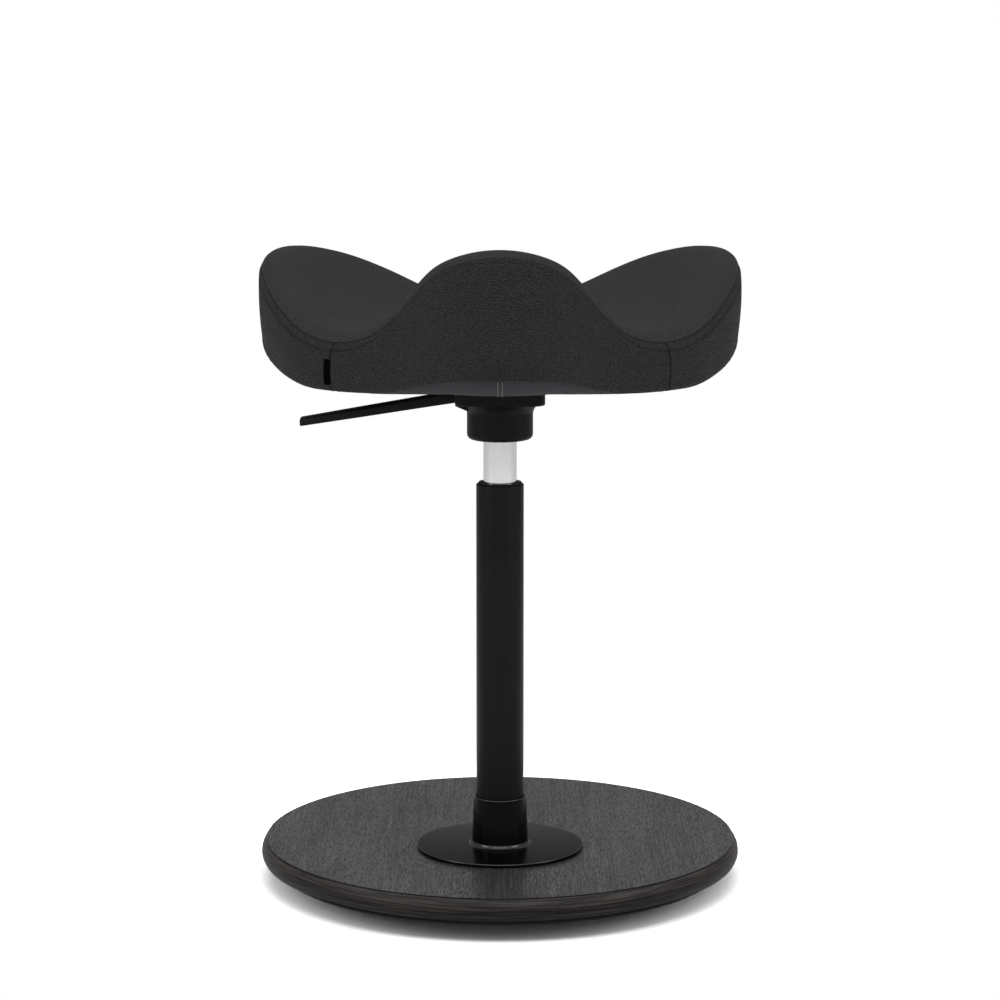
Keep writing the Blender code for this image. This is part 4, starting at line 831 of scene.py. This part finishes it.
seam = {
    "depth": 0.0023, "least": 0.75, "width": 0.0007, "pucker": 0.00022, "puckerReach": 0.0080,
    "puff": 0.0024, "topPuff": 0.0008, "puffNear": 0.0042, "puffReach": 0.034, "hornEnd": 28, "hornFade": 26,
    "crease": 0.0014, "creaseNear": 0.0048, "creaseFar": 0.0090, "creaseWidth": 0.0012,
    "sideDepth": 0.0014, "sideWidth": 0.0009, "sidePuff": 0.0002, "sidePuffAt": 0.0040,
    "sidePuffWidth": 0.0025, "slant": 0.034, "slantWidth": 0.25, "wander": 0.0006, "hemRoll": 0.0011,
    "hemWidth": 0.0009, "ripples": ((31, 0.4), (47, 2.1), (73, 4.4), (101, 1.2)), "clear": 0.0085,
    "dense": (0.35, 0.7, 1.1, 1.6, 2.3, 3.2, 4.4, 6.0),
}


def seatTurns():
    turns = [2 * pi * i / 300 for i in range(300)]
    dense = []
    for seamTurn in sideSeams:
        radius = rimRadius(seamTurn)
        turns = [t for t in turns if abs(t - seamTurn) * radius > seam["clear"]]
        dense += [seamTurn] + [seamTurn + way * d * 0.001 / radius for d in seam["dense"] for way in (-1, 1)]
    return sorted(turns + dense)


def spin(turn, radius, height):
    return (-radius * sin(turn), seat["centre"] - radius * cos(turn), seat["underside"] + height)


def gridNormals(grid, heart):
    around = np.roll(grid, -1, 0) - np.roll(grid, 1, 0)
    normals = np.cross(around, np.gradient(grid, axis=1))
    normals /= np.maximum(np.linalg.norm(normals, axis=2, keepdims=True), 1e-12)
    return -normals if np.sum(normals * (grid - heart)) < 0 else normals


def wander(points, scale, seed):
    # a slow unevenness, the same each run
    shift = Vector((seed, seed * 0.37, 0))
    return np.array([[noise.noise(Vector(p) * scale + shift) for p in row] for row in points])


def seamShift(turns, offsets, side):
    # the padding swells beside a seam, the leather dips into it, and on the side a faint crease runs
    # along it; over the front horn all of it is closer and shallower
    away = np.degrees(np.minimum(turns, 2 * pi - turns))[:, None]
    far = np.clip((away - seam["hornEnd"]) / seam["hornFade"], 0, 1)
    wings = far ** 2 * (3 - 2 * far)
    puff = seam["puff"] if side else seam["topPuff"]
    shift = puff * (1 - np.exp(-(offsets / seam["puffNear"]) ** 2)) * np.exp(-offsets / seam["puffReach"])
    ripple = sum(np.sin(waves * turns[:, None] + phase) / (k + 2)
                 for k, (waves, phase) in enumerate(seam["ripples"]))
    shift -= seam["pucker"] * ripple * np.exp(-(offsets / seam["puckerReach"])) * (0.3 + 0.7 * wings)
    depth = seam["depth"] * (seam["least"] + (1 - seam["least"]) * wings)
    groove = depth * np.exp(-(offsets / seam["width"]) ** 2)
    if side:
        creaseAt = seam["creaseNear"] + (seam["creaseFar"] - seam["creaseNear"]) * wings
        shift -= seam["crease"] * np.exp(-((offsets - creaseAt) / seam["creaseWidth"]) ** 2)
        for seamTurn in sideSeams:
            aside = np.abs(turns - seamTurn)[:, None] * rimRadius(seamTurn)
            groove = np.maximum(groove, seam["sideDepth"] * np.exp(-(aside / seam["sideWidth"]) ** 2))
            shift += seam["sidePuff"] * np.exp(-((aside - seam["sidePuffAt"]) / seam["sidePuffWidth"]) ** 2)
    return shift - groove


def slanted(turns, grid, offsets):
    # the side seams lean back on their way down, so the turns near them drift with the depth
    foot = np.array((0, seat["centre"], seat["underside"]))
    local = grid - foot
    radius = np.hypot(local[:, :, 0], local[:, :, 1])
    depth = offsets / offsets[:, -1:]
    moved = turns[:, None] + sum(
        way * seam["slant"] * np.exp(-((turns - seamTurn) / seam["slantWidth"]) ** 2)[:, None] * depth
        for seamTurn, way in zip(sideSeams, (1, -1)))
    ring = np.concatenate((turns - 2 * pi, turns, turns + 2 * pi))
    out = np.empty(grid.shape)
    for k in range(grid.shape[1]):
        at = moved[:, k]
        far, high = (np.interp(at, ring, np.tile(values[:, k], 3)) for values in (radius, local[:, :, 2]))
        out[:, k] = np.stack((-far * np.sin(at), -far * np.cos(at), high), 1) + foot
    return out


def makeSeatParts():
    turns = np.array(seatTurns())
    grids = []
    for pathOf, offsetsOf in ((sidePath, sideOffsets), (topPath, topOffsets)):
        grid, away = [], []
        for turn in turns:
            path = pathOf(turn)
            away.append(offsetsOf(pathLength(path)))
            grid.append([spin(turn, r, z) for r, z in resample(path, away[-1])])
        grids += [np.array(grid), np.array(away)]
    side, sideAway, top, topAway = grids
    side = slanted(turns, side, sideAway)
    heart = np.array((0, seat["centre"], seat["underside"] + 0.03))
    sideNormals = gridNormals(side, heart)
    topNormals = gridNormals(top, heart)
    topNormals[:, -1] = (0, 0, 1)
    sideShift = seamShift(turns, sideAway, True) + seam["wander"] * wander(side, 18.0, 3.1)
    sideShift -= seam["hemRoll"] * np.exp(-((sideAway[:, -1:] - sideAway) / seam["hemWidth"]) ** 2)
    topShift = seamShift(turns, topAway, False) + seam["wander"] * wander(top, 16.0, 7.7)
    topShift[:, -1] = topShift[:, -1].mean()
    return turns, side, sideNormals, sideShift, top + topNormals * topShift[:, :, None]


def bothSides(quads, half):
    return quads + [tuple(v + half for v in quad[::-1]) for quad in quads]


def makeBand(name, outer, inner, node):
    rows, count = outer.shape[:2]
    half = rows * count
    faces = bothSides(gridQuads(rows, count), half)
    for k in (0, count - 1):
        for a in range(k, half - count, count):
            quad = (a, a + count, a + count + half, a + half)
            faces.append(quad[::-1] if k else quad)
    for i in (0, rows - 1):
        for a in range(i * count, i * count + count - 1):
            quad = (a, a + half, a + half + 1, a + 1)
            faces.append(quad[::-1] if i else quad)
    points = [*outer.reshape(-1, 3), *inner.reshape(-1, 3)]
    band = addObject(name, points, faces, finishes["black_leather"], 60)
    dress(band, seatBody, "black_leather", node)


def makeCushion(turns, top):
    # the closed top: leather over the foam, whose sides go down inside the bands to the shell
    stacks = [foamBelow(turn) + [tuple(p) for p in row[:-1]] for turn, row in zip(turns, top)]
    rows, tall = len(stacks), len(stacks[0])
    points = [p for stack in stacks for p in stack]
    low, high = len(points), len(points) + 1
    points += [(0, seat["centre"], stacks[0][0][2]), tuple(top[:, -1].mean(0))]
    faces = gridQuads(rows, tall, closed=(True, False))
    for i in range(rows):
        here, there = i * tall, (i + 1) % rows * tall
        faces += [(low, there, here), (here + tall - 1, there + tall - 1, high)]
    cushion = addObject("seatCushion", points, faces, topLeather, 60)
    dress(cushion, seatBody, "black_leather", "cover_top", "seat_foam")


foam = {
    "lift": 0.0022, "flats": (0.5, 0.9), "curlFrom": radians(20), "curlShares": (0.25, 0.55, 0.8, 1.0),
    "aim": (0.85, 1.2, 0.02), "rimDrop": 0.0030,
}


def foamBelow(turn):
    # the foam's sides and underside, clear of the bands and the shell
    rise, flat = rimRise(turn), flatEdge(turn)
    height = curlOf(turn)[1]
    edge = rimRadius(turn) - seat["skin"]
    shell = foam["lift"] + seat["shell"]
    aimReach, aimRise, aimOver = foam["aim"]
    loop = [(flat * share, shell) for share in foam["flats"]]
    for share in foam["curlShares"]:
        r, z = curlPoint(turn, foam["curlFrom"] + (pi / 2 - foam["curlFrom"]) * share)
        inward = Vector((-r + flat * aimReach, height * aimRise + aimOver - z)).normalized()
        spot = Vector((r, z)) + inward * (shell * (1 - share) + seat["skin"] * share)
        loop.append((min(spot.x, edge), max(spot.y, shell * (1 - share))))
    loop += [(edge, (rise + height) / 2), (edge, rise - foam["rimDrop"])]
    return [spin(turn, r, z) for r, z in loop]


lining = {
    "middle": 0.08, "flatSteps": 14, "curlSteps": 16, "hemUnder": 3, "thick": 0.0008, "tuck": 0.0002,
    "hemTuck": (0.0005, 0.0006), "pull": 0.0003, "pulls": 57,
}


def makeUndersideCloth(turns):
    used = turns[::2]
    outer, inner = [], []
    flatSteps = lining["flatSteps"]
    tuckFrom, tuckMore = lining["hemTuck"]
    for turn in used:
        hem = hemTurn(turn)
        path = [(flatEdge(turn) * share, 0) for share in np.linspace(lining["middle"], 1, flatSteps)]
        path += [curlPoint(turn, hem * share) for share in np.linspace(0, 1, lining["curlSteps"])[1:]]
        path.append(curlPoint(turn, hem + radians(lining["hemUnder"])))
        count = len(path)
        for k, spot in enumerate(path):
            along = (Vector(path[min(k + 1, count - 1)]) - Vector(path[max(k - 1, 0)])).normalized()
            inward = Vector((-along.y, along.x))
            tuck, pull = lining["tuck"], 0.0
            if k > flatSteps:
                tuck = tuckFrom + tuckMore * (k - flatSteps + 1) / (count - flatSteps)
            if k >= flatSteps:
                pull = lining["pull"] * sin(lining["pulls"] * turn) * (k / count) ** 3
            outer.append(spin(turn, *(Vector(spot) + inward * (tuck + pull))))
            inner.append(spin(turn, *(Vector(spot) + inward * (tuck + pull + lining["thick"]))))
    rows, half = len(used), len(outer)
    faces = bothSides(gridQuads(rows, count, closed=(True, False)), half)
    rim = range(count - 1, half, count)
    faces += [(a, a + half, b + half, b) for a, b in zip(rim, [*rim[1:], rim[0]])]
    faces += [list(range(0, half, count)), list(range(half, 2 * half, count))[::-1]]
    cloth = addObject("undersideCloth", outer + inner, faces, finishes["dark_lining_cloth"], 50)
    dress(cloth, seatBody, "dark_lining_cloth", "underside_lining")


stitch = {
    "length": 0.0017, "pitch": 0.0042, "thick": 0.00042, "flat": 0.8, "sunk": 0.0002, "start": 0.002,
    "rows": (-0.0020, 0.0023), "sides": 8, "shares": (-1.0, -0.7, 0.0, 0.7, 1.0),
}


def makeStitches():
    # two rows along the middle of the underside, from the housing out to the hem at both ends
    points, faces = [], []
    sides, length = stitch["sides"], stitch["length"]
    for turn, way in ((0.0, -1), (pi, 1)):
        start = housing["halfDepth"] + stitch["start"] - way * (seat["centre"] - columnY)
        path = [(r, 0) for r in np.linspace(start, flatEdge(turn), 12)]
        path += [curlPoint(turn, hemTurn(turn) * share) for share in np.linspace(0, 1, 60)[1:]]
        for middle in np.arange(length, pathLength(path) - length, stitch["pitch"]):
            line = resample(path, [middle + share * length for share in stitch["shares"]])
            along = Vector(line[-1] - line[0]).normalized()
            for x in stitch["rows"]:
                first = len(points)
                for (r, h), share in zip(line, stitch["shares"]):
                    size = stitch["thick"] * sqrt(max(0.04, 1 - abs(share) ** 3))
                    for angle in (2 * pi * i / sides for i in range(sides)):
                        out = size * sin(angle) * stitch["flat"] - stitch["sunk"]
                        points.append((x + size * cos(angle), seat["centre"] + way * (r + along.y * out),
                                       seat["underside"] + h - along.x * out))
                faces += gridQuads(len(line), sides, first, (False, True))
                last = len(points) - sides
                faces += [list(range(first, first + sides))[::-1], list(range(last, last + sides))]
    stitches = addObject("undersideStitches", points, faces, sewingThread, 80)
    dress(stitches, seatBody, "dark_lining_cloth")


tag = {
    "width": 0.0080, "height": 0.0260, "thick": 0.00045, "drop": 0.0180, "stand": 0.0004, "foldRoom": 0.00010,
    "lift": 0.0002, "curve": 0.9, "wave": 0.5, "back": 0.0002,
}


def makeSeatTag(turns, side, normals):
    # a bare ribbon, folded double and sewn into the side seam
    stand, thick = tag["stand"], tag["thick"]
    fold = thick + tag["foldRoom"]
    reach = np.linspace(0, tag["width"] - fold, 7)
    outline = [(u, stand + 2 * fold) for u in reach]
    outline += [(reach[-1] + fold * cos(angle), stand + fold + fold * sin(angle))
                for angle in np.linspace(pi / 2, -pi / 2, 9)[1:-1]]
    outline += [(u, stand) for u in reach[::-1]] + [(u, stand + thick) for u in reach]
    outline += [(u, stand + 2 * fold - thick) for u in reach[::-1]]
    first = int(np.argmin(np.abs(turns - seamAngle)))
    cut = side[first]
    lengths = np.concatenate(([0], np.cumsum(np.linalg.norm(np.diff(cut, axis=0), axis=1))))
    rings = []
    for step in np.linspace(0, 1, 15):
        s = tag["drop"] + tag["height"] * step
        spot, normal, further = (np.array([np.interp(s, lengths, line[:, axis]) for axis in range(3)])
                                 for line in (cut, normals[first], side[first + 4]))
        normal /= np.linalg.norm(normal)
        tangent = further - spot
        tangent -= normal * tangent.dot(normal)
        tangent /= np.linalg.norm(tangent)
        ring = []
        for u, out in outline:
            lift = out + tag["curve"] * u ** 2 * (1 + tag["wave"] * sin(5 * step)) + tag["lift"]
            ring.append(tuple(spot + tangent * (u - tag["back"]) + normal * lift))
        rings.append(ring)
    dress(loft("seatTag", rings, finishes["black_ribbon"], 50), seatBody, "black_ribbon", "seat_tag")


def makeSeat():
    turns, side, normals, shift, top = makeSeatParts()
    outer = side + normals * shift[:, :, None]
    inner = side + normals * (np.minimum(shift, 0.0)[:, :, None] - seat["leather"])
    low, high = sideSeams
    front = [i for i, t in enumerate(turns) if t > high + 1e-6]
    front += [i for i, t in enumerate(turns) if t < low - 1e-6]
    rear = [i for i, t in enumerate(turns) if low + 1e-6 < t < high - 1e-6]
    makeBand("frontBand", outer[front], inner[front], "cover_front_band")
    makeBand("rearBand", outer[rear], inner[rear], "cover_rear_band")
    makeCushion(turns, top)
    makeUndersideCloth(turns)
    makeStitches()
    makeSeatTag(turns, side, normals)


makeSeat()
print("seat made")


# Stage, light and camera

studio = {
    "ground": 0.85, "fadeFrom": 0.30, "fadeTo": 0.62, "horizon": 0.61, "zenith": 0.67, "frontal": 0.35,
    # the rim, under and shown entries paint the floor's shadow near the base, on top of the real shadow
    "frontRim": (0.242, 0.267), "paintedFrontShadow": (0.36, 2.1), "sideRim": (0.246, 0.288),
    "paintedSideShadow": (1.25, 2.1), "under": (0.200, 0.235), "paintedUnderLight": (0.55, 0.0), "aside": 0.24,
    "steps": 96, "rings": (0.5, 1.5, 12.0), "drop": 0.0004,
}
softboxes = {  # place, height of the aim, size and power
    "key": ((0.0, -2.0, 2.3), 0.25, (2.8, 1.8), 28.0),
    "overhead": ((0.0, 0.1, 2.5), 0.3, (2.0, 2.0), 8.0),
    "leftSoftbox": ((-2.0, -0.9, 1.3), 0.35, (0.8, 1.2), 17.0),
    "rightSoftbox": ((2.0, -0.9, 1.3), 0.35, (0.8, 1.2), 17.0),
}
view = {"place": (0.0, -3.4196, 0.9655), "down": 9.2, "lens": 117, "sensor": 36}


def makeFloor():
    steps = studio["steps"]
    points = [(0, 0, -studio["drop"])]
    points += [(r * cos(2 * pi * i / steps), r * sin(2 * pi * i / steps), -studio["drop"])
               for r in studio["rings"] for i in range(steps)]
    faces = [(0, 1 + i, 1 + (i + 1) % steps) for i in range(steps)]
    faces += gridQuads(len(studio["rings"]), steps, 1, (False, True))
    made = bpy.data.materials.new("ground")
    tree = emptyTree(made)
    here = addNode(tree, "ShaderNodeTexCoord").outputs["Object"]
    far = addNode(tree, "ShaderNodeVectorMath", {0: here}, operation="LENGTH").outputs["Value"]
    across = addNode(tree, "ShaderNodeSeparateXYZ", {"Vector": here}).outputs["X"]
    # painted shadow: for the camera the floor's colour is scaled by distance from the centre and by side,
    # darker just round the base and brighter further out, over the real cast shadow; close under the rim it
    # is lifted as painted light
    paintedFrontShadow = mathOf(tree, "ADD", ramp(tree, far, *studio["frontRim"], *studio["paintedFrontShadow"]),
                        ramp(tree, far, *studio["under"], *studio["paintedUnderLight"]))
    paintedSideShadow = ramp(tree, far, *studio["sideRim"], *studio["paintedSideShadow"])
    aside = mathOf(tree, "DIVIDE", across, far)
    paintedShadowTone = addNode(tree, "ShaderNodeMix",
                    {0: mathOf(tree, "MULTIPLY", aside, aside), 2: paintedFrontShadow, 3: paintedSideShadow},
                    data_type="FLOAT").outputs[0]
    ray = addNode(tree, "ShaderNodeLightPath").outputs["Is Camera Ray"]
    tone = mixColour(tree, ray, (studio["ground"],) * 3, paintedShadowTone)
    matte = addNode(tree, "ShaderNodeBsdfDiffuse", {"Color": tone}).outputs[0]
    white = addNode(tree, "ShaderNodeEmission", {"Color": (1, 1, 1), "Strength": 1.0}).outputs[0]
    fade = addNode(tree, "ShaderNodeMapRange",
                   {"Value": far, "From Min": studio["fadeFrom"], "From Max": studio["fadeTo"]},
                   interpolation_type="SMOOTHSTEP")
    share = mathOf(tree, "MULTIPLY", fade.outputs[0], ray)
    mixed = addNode(tree, "ShaderNodeMixShader", {0: share, 1: matte, 2: white}).outputs[0]
    addNode(tree, "ShaderNodeOutputMaterial", {"Surface": mixed})
    floor = addObject("floorStage", points, faces, made, 30)


def makeWorld():
    world = bpy.data.worlds.new("studio")
    bpy.context.scene.world = world
    tree = emptyTree(world)
    here = addNode(tree, "ShaderNodeTexCoord").outputs["Generated"]
    split = addNode(tree, "ShaderNodeSeparateXYZ", {"Vector": here}).outputs
    glow = ramp(tree, split["Z"], 0.0, 0.8, studio["horizon"], studio["zenith"])
    glow = mathOf(tree, "MULTIPLY_ADD", split["Y"], -studio["frontal"], glow)
    aside = mathOf(tree, "MULTIPLY", split["X"], split["X"])
    glow = mathOf(tree, "MULTIPLY_ADD", aside, -studio["aside"], glow)
    around, plain = (
        addNode(tree, "ShaderNodeBackground", {"Color": (1, 1, 1), "Strength": strength}).outputs[0]
        for strength in (glow, 1.0))
    ray = addNode(tree, "ShaderNodeLightPath").outputs["Is Camera Ray"]
    mixed = addNode(tree, "ShaderNodeMixShader", {0: ray, 1: around, 2: plain}).outputs[0]
    addNode(tree, "ShaderNodeOutputWorld", {"Surface": mixed})


def addSoftbox(name, where, aimHeight, size, power):
    data = bpy.data.lights.new(name, "AREA")
    data.shape = "RECTANGLE"
    data.size, data.size_y = size
    data.energy = power
    lamp = link(name, data)
    lamp.location = where
    lamp.rotation_euler = (Vector((0, 0, aimHeight)) - Vector(where)).to_track_quat("-Z", "Y").to_euler()


makeFloor()
makeWorld()
for name, box in softboxes.items():
    addSoftbox(name, *box)

lens = bpy.data.cameras.new("camera")
lens.sensor_width = view["sensor"]
lens.lens = view["lens"]
camera = link("camera", lens)
camera.location = view["place"]
camera.rotation_euler = (radians(90 - view["down"]), 0, 0)
bpy.context.scene.camera = camera
bpy.context.scene.view_settings.view_transform = "Standard"
print("stage made")
